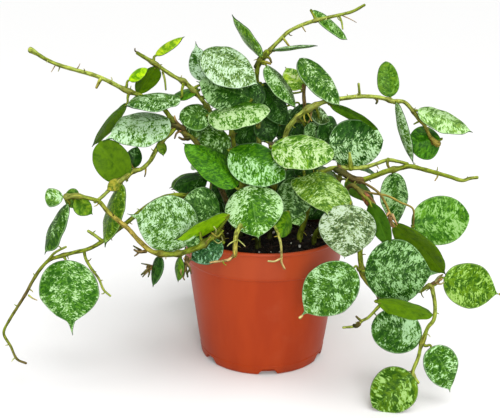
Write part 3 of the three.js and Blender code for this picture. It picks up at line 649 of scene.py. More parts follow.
# Leaves: every leaf may change any of these, and the look it names gives the rest
leafForm = {
    "rows": 34,
    "rowEase": 0.95,
    "columns": 17,
    "thickness": 0.85,
    "tipThickness": (9, 0.35),
    "slim": (0.62, 45),
    "widest": 0.42,
    "cup": 0.2,
    "dome": 1.6,
    "bend": 0.16,
    "bendAt": 0.3,
    "wave": 0.22,
    "waveWidth": 20,
    "broadWave": (0.42, 0.38),
    "rimWave": (0.9, 0.62),
    "smallWave": (0.35, 0.8),
    "calmBase": 6,
    "turn": 6.28,
    "point": 0.10,
    "blunt": 0.15,
    "bodyEnd": 0.62,
    "tipBulge": 2.05,
    "tipSlope": (0.92, 0.42),
    "tailOverlap": 0.10,
    "tailTaper": 1.35,
    "tailWidth": (0.26, 2.4, 0.5),
    "tailJoin": 2.6,
    "petiole": 0.6,
    "leastHalf": 0.12,
    "roundness": 7,
    "ribRidge": 0.045,
    "ribWidth": 0.45,
    "ribFull": 16,
    "groove": 0.16,
    "keel": 0.34,
    "tipRim": 0.9,
    "sideRim": 5.0,
    "baseCap": 0.3,
    "tipCap": 0.25,
    "mottleShift": 3.7,
    "shade": 0.12,
    "greenGain": 1.15,
    "silverGain": 1.06,
    "halfBlend": 0.12,
    "skew": 0,
    "sway": 0,
    "under": "plain",
    "gather": [],  # spots with more silver: along, across, reach, amount
    # colour gain of each half of the blade: below 1 paints that half in shade
    "halves": (1, 1),
    "by": [],  # the leaf stalk may pass by given points
}

# Leaf looks: green, silver, share of silver, fineness of the flecks
looks = {
    "silver": {"green": (0.045, 0.130, 0.008), "silver": (0.40, 0.57, 0.33), "share": 0.66, "fineness": 1.35},
    "mottled": {"green": (0.030, 0.100, 0.004), "silver": (0.33, 0.52, 0.24), "share": 0.48, "fineness": 1.3},
    "bright": {"green": (0.038, 0.130, 0.003), "silver": (0.36, 0.56, 0.23), "share": 0.46, "fineness": 1.3},
    # dark: a darkened green, painted shade for leaves deep in the crown
    "dark": {"green": (0.012, 0.055, 0.003), "silver": (0.14, 0.27, 0.10), "share": 0.30, "fineness": 1.4},
    "teal": {"green": (0.019, 0.078, 0.004), "silver": (0.28, 0.46, 0.20), "share": 0.56, "fineness": 1.45},
    "grey": {"green": (0.040, 0.072, 0.014), "silver": (0.40, 0.49, 0.32), "share": 0.62, "fineness": 1.15},
    "young": {"green": (0.20, 0.38, 0.003), "silver": (0.32, 0.50, 0.02), "share": 0.15, "fineness": 0.8},
    "yellow": {"green": (0.055, 0.135, 0.001), "silver": (0.28, 0.45, 0.10), "share": 0.45, "fineness": 0.9},
    "olive": {"green": (0.050, 0.130, 0.002), "silver": (0.12, 0.24, 0.02), "share": 0.2, "fineness": 0.9},
    "plain": {"green": (0.045, 0.160, 0.001), "silver": (0.11, 0.28, 0.02), "share": 0.35, "fineness": 1.2},
}
undersides = {
    "plain": (0.060, 0.165, 0.003),
    "lime": (0.19, 0.40, 0.002),
    "deep": (0.035, 0.110, 0.002),
    "olive": (0.073, 0.168, 0.0),
}


def bladeShare(t, leaf):  # half width along the blade, from 0 at the base to 1 at the widest
    widest, point = leaf["widest"], leaf["point"]
    body = 1 - point * leaf["bodyEnd"]
    front = np.sqrt(np.clip(1 - ((widest - t) / widest) ** 2, 0, 1))
    u = np.clip((t - widest) / (body - widest), 0, 1)
    rear = (1 - u ** leaf["tipBulge"]) ** (leaf["tipSlope"][0] - leaf["tipSlope"][1] * leaf["blunt"])
    most, near, drawn = leaf["tailWidth"]
    tail = np.clip((1 - t) / (1 - body + leaf["tailOverlap"]), 0, 1) ** leaf["tailTaper"]
    tail = tail * min(most, near / leaf["width"] + point * drawn)
    power = leaf["tailJoin"]
    joined = (rear**power + tail**power) ** (1 / power)
    return np.where(t < widest, front, np.minimum(joined, 1.0))


def leafFrame(leaf):  # where the blade starts, how long it is, which way it runs and which way it faces
    base = np.array(leaf["base"], float)
    reach = np.array(leaf["tip"], float) - base
    along, faces = unit(reach), np.array(leaf["faces"], float)
    return base, np.linalg.norm(reach), along, unit(faces - along * np.dot(faces, along))


def bladeMesh(leaf, seed):
    base, length, along, up = leafFrame(leaf)
    side, width, rows = np.cross(up, along), leaf["width"], leaf["rows"]
    t = 0.5 - 0.5 * np.cos(np.pi * np.linspace(0, 1, rows) ** leaf["rowEase"])
    t[0], t[-1] = 0.0, 1.0
    half = np.maximum(bladeShare(t, leaf) * width / 2, leaf["leastHalf"])
    half[0] = max(half[0], leaf["petiole"])
    c, ridge = leaf["columns"], leaf["ribRidge"]
    ribbed = np.insert(np.sin(np.linspace(-1, 1, c) * np.pi / 2), [c // 2, c // 2 + 1], [-ridge, ridge])
    m = len(ribbed)
    a = np.concatenate([ribbed, ribbed[-2:0:-1]])  # across the top from one rim to the other, and back below
    level = np.concatenate([np.ones(m), -np.ones(m - 2)])
    n = len(a)
    draw = random.Random(seed)
    phases = [draw.random() * leaf["turn"] for _ in range(5)]
    thin, least = leaf["tipThickness"]
    slimmest, full = leaf["slim"]
    thick = leaf["thickness"] * np.minimum(1, (1 - t) * thin + least) * min(1.0, slimmest + width / full)
    broad, rimmed, small = leaf["broadWave"], leaf["rimWave"], leaf["smallWave"]
    verts, places, edges = [], [], []
    for i in range(rows):
        h, bow = half[i], math.sin(math.pi * t[i])
        x = a * h
        y = t[i] * length + leaf["skew"] * x * bow
        drop = leaf["cup"] * h * np.abs(a) ** leaf["dome"]
        wave = leaf["wave"] * (width / leaf["waveWidth"]) * (
            np.sin(x * broad[0] + phases[0]) * np.sin(y * broad[1] + phases[1])
            + rimmed[0] * np.abs(a) ** 2 * np.sin(y * rimmed[1] + phases[2] + np.sign(a) * phases[3])
            + small[0] * np.sin(x + y * small[1] + phases[4])
        )
        rise = leaf["bend"] * length * (leaf["bendAt"] ** 2 - (t[i] - leaf["bendAt"]) ** 2)
        bulge = np.sqrt(np.clip(1 - np.abs(a) ** leaf["roundness"], 0, 1)) * thick[i] / 2
        rib = np.exp(-((x / leaf["ribWidth"]) ** 2)) * min(1, width / leaf["ribFull"]) * (1 - t[i])
        height = rise - drop + wave * min(1, t[i] * leaf["calmBase"]) + level * bulge
        height = height - np.where(level > 0, leaf["groove"], leaf["keel"]) * rib
        sway = leaf["sway"] * length * bow
        verts.append(base + side * sway + np.outer(y, along) + np.outer(x, side) + np.outer(height, up))
        places.append(np.stack([x, y, np.full(n, seed * leaf["mottleShift"])], axis=1))
        nearTip = np.clip(1 - (1 - t[i]) * length / leaf["tipRim"], 0, 1)
        margin = np.clip(1 - (h * (1 - np.abs(a))) / leaf["sideRim"], 0, 1)
        edges.append(np.maximum(margin, nearTip))
    verts.append(base[None] - along * leaf["baseCap"])
    verts.append(verts[rows - 1].mean(axis=0)[None] + along * leaf["tipCap"])
    places += [np.array([[0, y, seed * leaf["mottleShift"]]]) for y in (0, length)]
    edges += [np.array([0.5]), np.array([1.0])]
    aroundSlots = [0] * (m - 1) + [1] * (n - m + 1)
    slots = aroundSlots * (rows - 1) + [slot for slot in aroundSlots for _ in range(2)]
    return np.vstack(verts), closedFaces(rows, n), slots, np.vstack(places), np.concatenate(edges)[:, None]


def stalkRoute(leaf, lines, s):  # from the nearest stem to the blade's lower side
    base, _, along, face = leafFrame(leaf)
    way = [np.array(p, float) for p in leaf["by"]]
    gap, line, k = nearestPoint(lines, way[0] if way else base)
    foot = line[k]
    if way:
        return [foot, *way] + [base + along * on - face * under for on, under in s["stalkBend"]]
    sag = foot + (base - foot) * s["stalkSag"][0] - np.array([0, 0, s["stalkSag"][1]]) * gap
    behind = base - along * min(s["stalkBack"][0], gap * s["stalkBack"][1]) - face * s["stalkBelow"]
    return [foot, sag, behind, base + along * s["stalkHold"][0] - face * s["stalkHold"][1]]


def addLeaf(blades, stalks, lines, leaf, seed):
    leaf = {**leafForm, **looks[leaf["look"]], **leaf}
    verts, faces, slots, place, edge = bladeMesh(leaf, seed)
    draw = random.Random(seed * 13 + 5)
    shade = 1 + draw.uniform(-leaf["shade"], leaf["shade"])
    x, y = place[:, 0] / (leaf["width"] / 2), place[:, 1] / leafFrame(leaf)[1]
    share = np.full(len(verts), leaf["share"])
    for u, v, reach, amount in leaf["gather"]:
        share += amount * np.exp(-(((y - u) ** 2 + ((x - v) / 2) ** 2) / reach**2))
    # painted light and shade: each half of the blade takes its own colour gain
    half = np.interp(x, [-leaf["halfBlend"], leaf["halfBlend"]], leaf["halves"])[:, None]
    green = np.array(leaf["green"]) * leaf["greenGain"] * shade * half
    green = np.hstack([green, np.full((len(verts), 1), leaf["fineness"])])
    fleck = np.hstack([np.array(leaf["silver"]) * leaf["silverGain"] * half, share[:, None]])
    under = (*(c * shade for c in undersides[leaf["under"]]), 1)
    addToHeap(blades, verts, faces, slots, place=place, edge=edge, green=green, fleck=fleck, under=under)
    path = smoothRoute(stalkRoute(leaf, lines, stemForm), stemForm["fineStep"])
    radii = np.interp(np.linspace(0, 1, len(path)), *stemForm["stalkRadii"])
    addTube(stalks, path, radii, stemForm["stalkSides"], toneAlong(["olive"], len(path)), seed)


def addNubs(heap, line, radius, rooted, draw, seed, s):
    along, side, other = carriedFrame(line)
    start, spread = s["nubFirstRooted"] if rooted else s["nubFirst"]
    gone = start + draw.random() * spread
    end = (len(line) - 1) * s["step"] - s["nubEndFree"]
    while gone < end and radius[0] > s["nubStem"]:
        k = int(gone / s["step"])
        turn = draw.random() * s["nubTurn"]
        out = side[k] * math.cos(turn) + other[k] * math.sin(turn)
        size = draw.uniform(*s["nubSize"])
        tip = line[k] + out * (radius[k] + size) + along[k] * draw.uniform(-1, 1) * size * s["nubLean"]
        route = [line[k], line[k] + out * (radius[k] + size / 2), tip]
        addRootlet(heap, route, s["nubThick"], ["olive", draw.choice(s["nubTones"])], seed)
        gone += s["nubSpacing"] * draw.uniform(*s["nubSpacingShare"])


def makeVine(vine, seed, s):
    lines = grownStems(vine["stems"], s)
    wood, blades = newHeap(), newHeap()
    draw = random.Random(seed)
    joints = [nearestPoint(lines, np.array(leaf["base"], float)) for leaf in vine["leaves"]]
    for i, (stem, line) in enumerate(zip(vine["stems"], lines)):
        steps = np.arange(len(line))
        quick, slow = (np.sin(steps * s["step"] * rate + turn) for rate, turn in zip(s["waves"], (seed, 2 * seed)))
        swell = 1 + s["unevenness"] * quick * slow
        scar = np.zeros(len(line))
        for _, owner, k in joints:
            if owner is line:
                near = np.exp(-(((steps - k) * s["step"] / s["nodeLength"]) ** 2))
                swell += s["nodeSwell"] * near
                scar = np.maximum(scar, near)
        radius = np.linspace(*stem["thick"], len(line))
        colours = toneAlong(stem["tones"], len(line))
        colours += (np.array(tones["brown"]) - colours) * scar[:, None] * s["scarShare"]  # old leaf scars
        n = s["sides"] if stem["thick"][0] > s["thin"] else s["thinSides"]
        addTube(wood, line, radius * swell, n, colours, seed + i)
        addNubs(wood, line, radius, i == 0, draw, seed, s)
    for i, leaf in enumerate(vine["leaves"]):
        addLeaf(blades, wood, lines, leaf, seed * 40 + i)
    for root in vine.get("roots", []):
        addRootlet(wood, root["route"], root["thick"], root["tones"], seed)
    name = "".join(part.title() for part in vine["node"].split("_")[1:])
    pieceFromHeap("stems" + name, wood, [bark], vine["node"])
    pieceFromHeap("leaves" + name, blades, [leafTop, leafUnder], vine["node"])


def pairedLeaves(vine, s):
    # leaves in pairs along a stem, each reaching sideways and down from it, turned by a seeded draw
    line = smoothRoute(vine["stems"][0]["route"], s["step"])
    pairs = vine["pairs"]
    state = pairs["seed"]
    factor, modulus = s["draw"]

    def vary(amount):
        nonlocal state
        state = (state * factor) % modulus
        return (state / modulus - 0.5) * amount

    along, _, _ = carriedFrame(line)
    leaves = []
    for i in range(pairs["count"]):
        share = pairs["first"] + (1 - pairs["first"]) * i / (pairs["count"] - s["endFree"])
        k = int(round(share * (len(line) - 1)))
        away = unit(np.array([line[k][0], line[k][1], 0]))
        across = unit(np.cross(away, along[k]))
        out = unit(np.cross(along[k], across))
        for hand in (-1, 1):
            reach = across * hand * (s["spread"] + vary(s["varySpread"]))
            reach = reach + along[k] * (s["forward"] + vary(s["varyForward"]))
            reach = unit(reach + out * (s["outward"] + vary(s["varyOutward"])))
            size = 1 - s["shrink"] * (i / pairs["count"]) + vary(s["varySize"])
            base = line[k] + reach * s["petiole"]
            leaves.append({
                "base": base,
                "tip": base + reach * s["length"] * size,
                "width": s["width"] * size,
                "faces": out + across * hand * s["tilt"],
                "look": s["looks"][(2 * i + (hand > 0)) % len(s["looks"])],
            })
    for i, tip in pairs.get("tucked", {}).items():
        leaves[i]["tip"] = tip
    return leaves


# Nursery pot
pot = {
    "rimRadius": 40.0,
    "height": 66.0,
    "baseRadius": 32.0,
    "collarHeight": 13.8,
    "collarInset": 0.5,
    "collarStep": 0.7,
    "lipHeight": 1.6,
    "wall": 1.3,
    "floor": 1.8,
    "mouldLine": 4.7,
    "mouldStep": 0.16,
    "underside": (0, 12, 24, 30.2, 30.9),
    "footRound": ((31.1, 0.9), 0.9, -88, 0, 6),  # centre, radius, start, end and number of points
    "lowWall": (1.6, 2.6, 3.6),
    # mould line: where the wall is taken, share of the step and height, all from the line
    "mould": ((-0.25, 0, -0.25), (0, 0, -0.08), (0, 1, 0.12), (0.6, 1, 0.6), (2.4, 0.5, 2.4)),
    "highWall": (5, -1.2, 12),  # above the mould line, to the collar's foot, and number of points
    "underCollar": (0.02, -0.4),  # out and up from the collar's foot, as in the next two
    "collarTurn": ((0.18, -0.12), (0.5, 0.1)),
    "collarEdge": ((-0.08, 0.35), (0, 0.7)),
    "collarWall": (2, -0.35, 5),  # above the collar's foot, to the lip, and number of points
    "lipTurn": ((0.06, -0.1), (0.32, 0.1)),
    "outerRound": (0.62, 0.78, -45, 90, 9),  # inset, radius, start, end and number of points
    "innerRound": (0.6, 0.55, 90, 180, 6),
    "innerTop": 2.5,
    "innerStep": 1,
    "innerHeights": (40, 25, 10),
    "floorCorner": (1.2, 1.5),  # in and up
    "floorRadii": (15, 0),
    "segments": 192,
    "sharpAngle": 38,
    "notches": 6,
    "firstNotch": -85,
    "notchTop": 6.0,
    "notchFoot": 9.5,
    "notchHeight": 3.3,
    "notchDepth": 6.0,
    "notchReach": 2,
    "notchLow": ((-1.2, -1), (0, 0.35)),  # the left side, from the notch's foot and from its top corner
    "notchHigh": ((-0.45, -0.9), (0.15, -0.15), (0.9, 0)),
    "colour": (0.345, 0.037, 0.003),
    "colourDeep": (0.30, 0.029, 0.002),
    "dust": (0.40, 0.11, 0.05),
    "grime": (0.16, 0.03, 0.012),
    # near black inside the pot: soil stain and painted shade
    "stain": (0.035, 0.012, 0.005),
    "grain": 2600,
    "streakStretch": (1000.0, 1000.0, 160.0),
    "streaks": (0.09, 3, 0.55),
    "cloud": (42, 4, 0.6),
    "scuffStretch": (1000.0, 1000.0, 3200.0),
    "scuffs": (0.35, 4, 0.75),
    "deep": (0.35, 0.68),
    "dusty": (0.55, 0.8, 0.0, 0.16),
    "scuffed": (0.68, 0.78, 0.0, 0.22),
    # painted sheen: the collar band is painted lighter
    "collarSheen": (0.0515, 0.0545, 0.0, 0.17),
    "grimeHeight": (0.006, 0.0),
    "grimy": (0.4, 0.6, 0.1, 0.45),
    "shadedInsideRadius": (0.0387, 0.0382),  # this band of the inner wall is painted near black: clinging soil and painted shade
    "shadedInsideHeights": ((0.0652, 0.0635), (0.0545, 0.0555)),
    "roughness": (0.3, 0.7, 0.36, 0.46),
    "scuffRoughness": 0.5,
    "shine": 0.16,
    "streakHeight": 0.6,
    "grainHeight": 0.35,
    "bump": (0.00008, 0.6),
}


def arc(centre, radius, start, end, count):  # points of an arc in the (radius, height) plane
    turns = np.radians(np.linspace(start, end, count))
    return [(centre[0] + radius * math.cos(t), centre[1] + radius * math.sin(t)) for t in turns]


def potProfile(s):  # radius and height from the middle of the underside, up outside and down inside
    foot = s["height"] - s["collarHeight"]
    collar = s["rimRadius"] - s["collarInset"]
    top, inner = collar - s["collarStep"], collar - s["wall"]
    line, high, lip = s["mouldLine"], s["height"], s["height"] - s["lipHeight"]

    def wall(z):
        return s["baseRadius"] + (top - s["baseRadius"]) * z / foot

    points = [(r, 0) for r in s["underside"]] + arc(*s["footRound"])
    points += [(wall(z), z) for z in s["lowWall"]]
    points += [(wall(line + at) - s["mouldStep"] * share, line + up) for at, share, up in s["mould"]]
    start, end, count = s["highWall"]
    points += [(wall(z), z) for z in np.linspace(line + start, foot + end, count)]
    out, up = s["underCollar"]
    points.append((wall(foot + up) + out, foot + up))
    points += [(top + out, foot + up) for out, up in s["collarTurn"]]
    points += [(collar + out, foot + up) for out, up in s["collarEdge"]]
    start, end, count = s["collarWall"]
    points += [(collar, z) for z in np.linspace(foot + start, lip + end, count)]
    points += [(collar + out, lip + up) for out, up in s["lipTurn"]]
    inset, r, *turn = s["outerRound"]
    points += arc((s["rimRadius"] - inset, high - r), r, *turn)[1:]
    inset, r, *turn = s["innerRound"]
    points += arc((inner + inset, high - r), r, *turn)
    points += [(inner, high - s["innerTop"]), (inner, foot + s["innerStep"])]
    points.append((wall(foot) - s["wall"], foot - s["innerStep"]))
    corner, rise = s["floorCorner"]
    points += [(wall(z) - s["wall"], z) for z in (*s["innerHeights"], s["floor"] + rise)]
    points.append((wall(s["floor"]) - s["wall"] - corner, s["floor"]))
    return points + [(r, s["floor"]) for r in s["floorRadii"]]


def potShell(s):  # the profile turned round the middle
    n = s["segments"]
    shell = bmesh.new()
    rings = []
    for radius, z in potProfile(s):
        angles = [fullTurn * k / n for k in range(n)] if radius else [0]
        places = [(radius * mm * math.cos(a), radius * mm * math.sin(a), z * mm) for a in angles]
        rings.append([shell.verts.new(place) for place in places])
    for below, above in zip(rings, rings[1:]):
        for k in range(n):
            j = (k + 1) % n
            if len(below) == 1:
                shell.faces.new((below[0], above[j], above[k]))
            elif len(above) == 1:
                shell.faces.new((below[k], below[j], above[0]))
            else:
                shell.faces.new((below[k], below[j], above[j], above[k]))
    bmesh.ops.recalc_face_normals(shell, faces=shell.faces[:])
    return shell


def notchCutter(s, angle):
    # a block that narrows upward with eased corners, pushed out through the foot of the wall
    side = [(x - s["notchFoot"] / 2, z) for x, z in s["notchLow"]]
    side += [(x - s["notchTop"] / 2, s["notchHeight"] + z) for x, z in s["notchHigh"]]
    outline = side + [(-x, z) for x, z in reversed(side)]
    near = s["baseRadius"] - s["notchDepth"] + s["notchReach"]
    turn = Matrix.Rotation(angle - math.pi / 2, 4, "Z")
    cutter = bmesh.new()
    rows = []
    for depth in (near, near + s["notchDepth"]):
        rows.append([cutter.verts.new(turn @ Vector((x * mm, depth * mm, z * mm))) for x, z in outline])
    n = len(outline)
    for k in range(n):
        j = (k + 1) % n
        cutter.faces.new((rows[0][k], rows[0][j], rows[1][j], rows[1][k]))
    cutter.faces.new(rows[0])
    cutter.faces.new(list(reversed(rows[1])))
    bmesh.ops.recalc_face_normals(cutter, faces=cutter.faces[:])
    return cutter


def meshObject(name, shape):
    mesh = bpy.data.meshes.new(name)
    shape.to_mesh(mesh)
    shape.free()
    return linkObject(name, mesh)


def bakeModifiers(piece):  # the evaluated mesh takes the place of the plain one
    graph = bpy.context.evaluated_depsgraph_get()
    mesh = bpy.data.meshes.new_from_object(piece.evaluated_get(graph))
    piece.modifiers.clear()
    piece.data = mesh


def potPaint(s):
    material, tree, shader = newMaterial("potPlastic")
    place = objectPlace(tree)
    x, y, z = splitNode(tree, place)
    fine = useGroup(tree, skin, Place=place, Scale=s["grain"])
    streaks = noiseNode(tree, vectorNode(tree, "MULTIPLY", place, s["streakStretch"]), *s["streaks"])
    scuffs = noiseNode(tree, vectorNode(tree, "MULTIPLY", place, s["scuffStretch"]), *s["scuffs"])
    cloud = noiseNode(tree, place, *s["cloud"])
    marks = stepNode(tree, scuffs, *s["scuffed"])
    colour = mixNode(tree, stepNode(tree, streaks, *s["deep"]), s["colour"], s["colourDeep"])
    # real dust and scuffs, and a painted sheen that makes the collar band lighter
    for dust in (stepNode(tree, cloud, *s["dusty"]), marks, stepNode(tree, z, *s["collarSheen"])):
        colour = mixNode(tree, dust, colour, s["dust"])
    grime = mathNode(tree, "MULTIPLY", stepNode(tree, z, *s["grimeHeight"]), stepNode(tree, cloud, *s["grimy"]))
    colour = mixNode(tree, grime, colour, s["grime"])
    away = mathNode(tree, "SQRT", mathNode(tree, "MULTIPLY_ADD", x, x, mathNode(tree, "MULTIPLY", y, y)))
    inside = stepNode(tree, away, *s["shadedInsideRadius"])
    for limits in s["shadedInsideHeights"]:
        inside = mathNode(tree, "MULTIPLY", inside, stepNode(tree, z, *limits))
    # painted shade: the inner wall above the soil is painted near black, with soil stain
    colour = mixNode(tree, inside, colour, s["stain"])
    rough = mathNode(tree, "MULTIPLY_ADD", marks, s["scuffRoughness"], stepNode(tree, cloud, *s["roughness"]))
    height = mathNode(tree, "MULTIPLY", fine["Height"], s["grainHeight"])
    height = mathNode(tree, "MULTIPLY_ADD", streaks, s["streakHeight"], height)
    finishPaint(tree, shader, colour, rough, s["shine"], height, s["bump"])
    return material


def makePot(s):
    piece = meshObject("potShell", potShell(s))
    cutters = []
    for k in range(s["notches"]):
        angle = math.radians(s["firstNotch"] + 360 * k / s["notches"])
        cutters.append(meshObject("notch%d" % k, notchCutter(s, angle)))
        cut = piece.modifiers.new("notch", "BOOLEAN")
        cut.operation, cut.solver, cut.object = "DIFFERENCE", "EXACT", cutters[-1]
    bakeModifiers(piece)
    for cutter in cutters:
        bpy.data.objects.remove(cutter)
    mesh = piece.data
    mesh.materials.clear()
    mesh.materials.append(potPaint(s))
    mesh.polygons.foreach_set("use_smooth", [True] * len(mesh.polygons))
    mesh.set_sharp_from_angle(angle=math.radians(s["sharpAngle"]))
    dress(piece, "pot")
    print("pot:", len(mesh.polygons), "faces")


# Soil: a peat bed with crumbs, fibres and white perlite lying on it
soil = {
    "top": 61.5,
    "rise": 1.2,
    "lump": 0.9,
    "edge": 37.4,
    "edgeDrop": 0.5,
    "wall": [(37.5, 53.0), (36.6, 51.2), (30.4, 2.3), (28.4, 2.3)],  # radius and height below the edge
    "bottom": 2.3,
    "rings": 56,
    "ringEase": 0.9,
    "spokes": 150,
    "crumbs": 2600,
    "crumbSize": (0.35, 1.5, 3),  # smallest, largest and how rare the large ones are
    "crumbFlat": 0.35,
    "crumbReach": 0.975,
    "crumbLift": (-0.1, 0.4),
    "woodShare": 0.8,
    "fibres": 170,
    "fibreReach": 0.94,
    "fibreLength": (2, 6),
    "fibreParts": 4,
    "fibreTurn": 0.6,
    "fibreSlope": (-0.12, 0.22),
    "fibreLift": 0.3,
    "fibreRadius": (0.11, 0.07),
    "fibreStep": 0.5,
    "fibreSides": 5,
    "perlite": 70,
    "perliteSize": (0.3, 1.1, 2.5),
    "perliteFlat": 0.6,
    "perliteReach": 0.95,
    "perliteLift": 0.35,
    "anyTurn": 6.3,
    "sharpAngle": 50,
    "perliteAngle": 40,
    "seed": 7,
    "waves": (0.61, 0.53, 0.23, 0.37),
    "waveShift": 1,
    "slantWave": 0.6,
    "grit": ((0.55, 3.1, 0.5), (1.4, 8.2, 0.35)),  # fineness, level and height of each noise
    "grainWidth": 0.6,
    "grainTilt": 0.6,
    "grainShift": 90,
    "grainDents": ((1.3, 0.55), (3.1, 0.2)),  # fineness and depth
    "peat": (0.008, 0.0055, 0.0032),
    "bark": (0.040, 0.021, 0.010),
    "fibre": (0.10, 0.055, 0.025),
    "grain": 1500,
    "clumps": (330, 5, 0.7),
    "darkTint": (0.3, 0.26, 0.22),
    "clumpEdge": (0.38, 0.6),
    "chips": (0.62, 0.7, 0.0, 0.5),
    "roughness": (0.3, 0.7, 0.62, 0.95),
    "shine": 0.2,
    "grainHeight": 0.5,
    "bump": (0.0006, 1.0),
    "white": (0.55, 0.53, 0.48),
    "pores": 2600,
    "stain": (500, 4, 0.65),
    "stained": (0.5, 0.72),
    "stainColour": (0.33, 0.27, 0.2),
    "poreEdge": (0.25, 0.05, 0.0, 0.6),
    "poreColour": (0.4, 0.37, 0.32),
    "perliteRoughness": (0.3, 0.7, 0.8, 0.95),
    "perliteShine": 0.5,
    "perliteBump": (0.0003, 0.9),
}


def soilHeight(s, x, y):
    a, b, c, d = s["waves"]
    lump = math.sin(x * a + s["waveShift"]) * math.sin(y * b) + s["slantWave"] * math.sin(x * c - y * d)
    grit = sum(noise.noise(Vector((x * f, y * f, level))) * high for f, level, high in s["grit"])
    return s["top"] + s["rise"] * (1 - math.hypot(x, y) / s["edge"]) + s["lump"] * lump + grit


def soilBed(s):
    n = s["spokes"]
    spokes = [(math.cos(fullTurn * k / n), math.sin(fullTurn * k / n)) for k in range(n)]
    verts, faces = [(0, 0, soilHeight(s, 0, 0))], []
    for i in range(1, s["rings"] + 1):
        r = s["edge"] * (i / s["rings"]) ** s["ringEase"]
        drop = s["edgeDrop"] if i == s["rings"] else 0
        verts += [(r * c, r * d, soilHeight(s, r * c, r * d) - drop) for c, d in spokes]
    for r, z in s["wall"]:
        verts += [(r * c, r * d, z) for c, d in spokes]
    verts.append((0, 0, s["bottom"]))
    rows = s["rings"] + len(s["wall"])
    last = 1 + (rows - 1) * n
    for k in range(n):
        j = (k + 1) % n
        faces.append((0, 1 + k, 1 + j))
        for a in range(1, last, n):
            faces.append((a + k, a + n + k, a + n + j, a + j))
        faces.append((last + k, len(verts) - 1, last + j))
    return np.array(verts, float), faces


def grainShape(detail):  # a small round mesh to be pushed out of shape
    ball = bmesh.new()
    bmesh.ops.create_icosphere(ball, subdivisions=detail, radius=1)
    verts = np.array([v.co[:] for v in ball.verts])
    faces = [tuple(v.index for v in f.verts) for f in ball.faces]
    ball.free()
    return verts, faces


def roughGrain(shape, size, flat, draw, s):
    verts = shape * np.array([size, size * draw.uniform(s["grainWidth"], 1), size * draw.uniform(flat, 1)])
    shift = Vector([draw.random() * s["grainShift"] for _ in range(3)])
    push = np.ones(len(shape))
    for fineness, depth in s["grainDents"]:
        push += [depth * noise.noise(Vector(v) * fineness + shift) for v in shape]
    spin, tilt = draw.random() * s["anyTurn"], draw.uniform(-s["grainTilt"], s["grainTilt"])
    turn = Matrix.Rotation(spin, 3, "Z") @ Matrix.Rotation(tilt, 3, "X")
    return (verts * push[:, None]) @ np.array(turn).T


def soilPaint(s):
    material, tree, shader = newMaterial("peat")
    place = objectPlace(tree)
    tone = readValue(tree, "tone")["Color"]
    fine = useGroup(tree, skin, Place=place, Scale=s["grain"])
    clumps = noiseNode(tree, place, *s["clumps"])
    colour = mixNode(tree, stepNode(tree, clumps, *s["clumpEdge"]), tinted(tree, tone, s["darkTint"]), tone)
    colour = mixNode(tree, stepNode(tree, fine["Height"], *s["chips"]), colour, s["bark"])
    rough = stepNode(tree, clumps, *s["roughness"])
    height = mathNode(tree, "MULTIPLY_ADD", fine["Height"], s["grainHeight"], clumps)
    finishPaint(tree, shader, colour, rough, s["shine"], height, s["bump"])
    return material


def perlitePaint(s):
    material, tree, shader = newMaterial("perlite")
    place = objectPlace(tree)
    pores = cellNode(tree, place, s["pores"])
    stain = noiseNode(tree, place, *s["stain"])
    colour = mixNode(tree, stepNode(tree, stain, *s["stained"]), s["white"], s["stainColour"])
    colour = mixNode(tree, stepNode(tree, pores, *s["poreEdge"]), colour, s["poreColour"])
    rough = stepNode(tree, stain, *s["perliteRoughness"])
    finishPaint(tree, shader, colour, rough, s["perliteShine"], pores, s["perliteBump"])
    return material


def makeSoil(s):
    draw = random.Random(s["seed"])
    peat = soilPaint(s)
    bed, crumbs, perlite = newHeap(), newHeap(), newHeap()
    addToHeap(bed, *soilBed(s), tone=(*s["peat"], 1))
    pieceFromHeap("soilBed", bed, [peat], "soil", s["sharpAngle"])

    def spot(reach):  # anywhere on the soil within a share of its radius
        r, a = s["edge"] * reach * math.sqrt(draw.random()), draw.random() * 2 * math.pi
        x, y = r * math.cos(a), r * math.sin(a)
        return np.array([x, y, soilHeight(s, x, y)])

    def anySize(smallest, largest, rarity):
        return smallest + (largest - smallest) * draw.random() ** rarity

    shape, shapeFaces = grainShape(1)
    for _ in range(s["crumbs"]):
        size = anySize(*s["crumbSize"])
        grain = roughGrain(shape, size, s["crumbFlat"], draw, s) + spot(s["crumbReach"])
        grain = grain + np.array([0, 0, size * draw.uniform(*s["crumbLift"])])
        wood = draw.random() ** 3 * s["woodShare"]
        tone = tuple(p + (b - p) * wood for p, b in zip(s["peat"], s["bark"]))
        addToHeap(crumbs, grain, shapeFaces, tone=(*tone, 1))
    parts, turnLimit = s["fibreParts"], s["fibreTurn"]
    for _ in range(s["fibres"]):
        start, turn = spot(s["fibreReach"]), draw.random() * s["anyTurn"]
        length = draw.uniform(*s["fibreLength"])
        path = [start + np.array([0, 0, s["fibreLift"]])]
        for _ in range(parts):
            turn += draw.uniform(-turnLimit, turnLimit)
            way = np.array([math.cos(turn), math.sin(turn), draw.uniform(*s["fibreSlope"])])
            path.append(path[-1] + way * length / parts)
        verts, faces, _ = tubeMesh(smoothRoute(path, s["fibreStep"]), s["fibreRadius"], s["fibreSides"])
        addToHeap(crumbs, verts, faces, tone=(*s["fibre"], 1))
    pieceFromHeap("soilCrumbs", crumbs, [peat], "soil", s["sharpAngle"])

    shape, shapeFaces = grainShape(2)
    for _ in range(s["perlite"]):
        size = anySize(*s["perliteSize"])
        grain = roughGrain(shape, size, s["perliteFlat"], draw, s) + spot(s["perliteReach"])
        addToHeap(perlite, grain + np.array([0, 0, size * s["perliteLift"]]), shapeFaces)
    pieceFromHeap("soilPerlite", perlite, [perlitePaint(s)], "soil", s["perliteAngle"])
    print("soil:", s["crumbs"], "crumbs,", s["perlite"], "perlite grains")


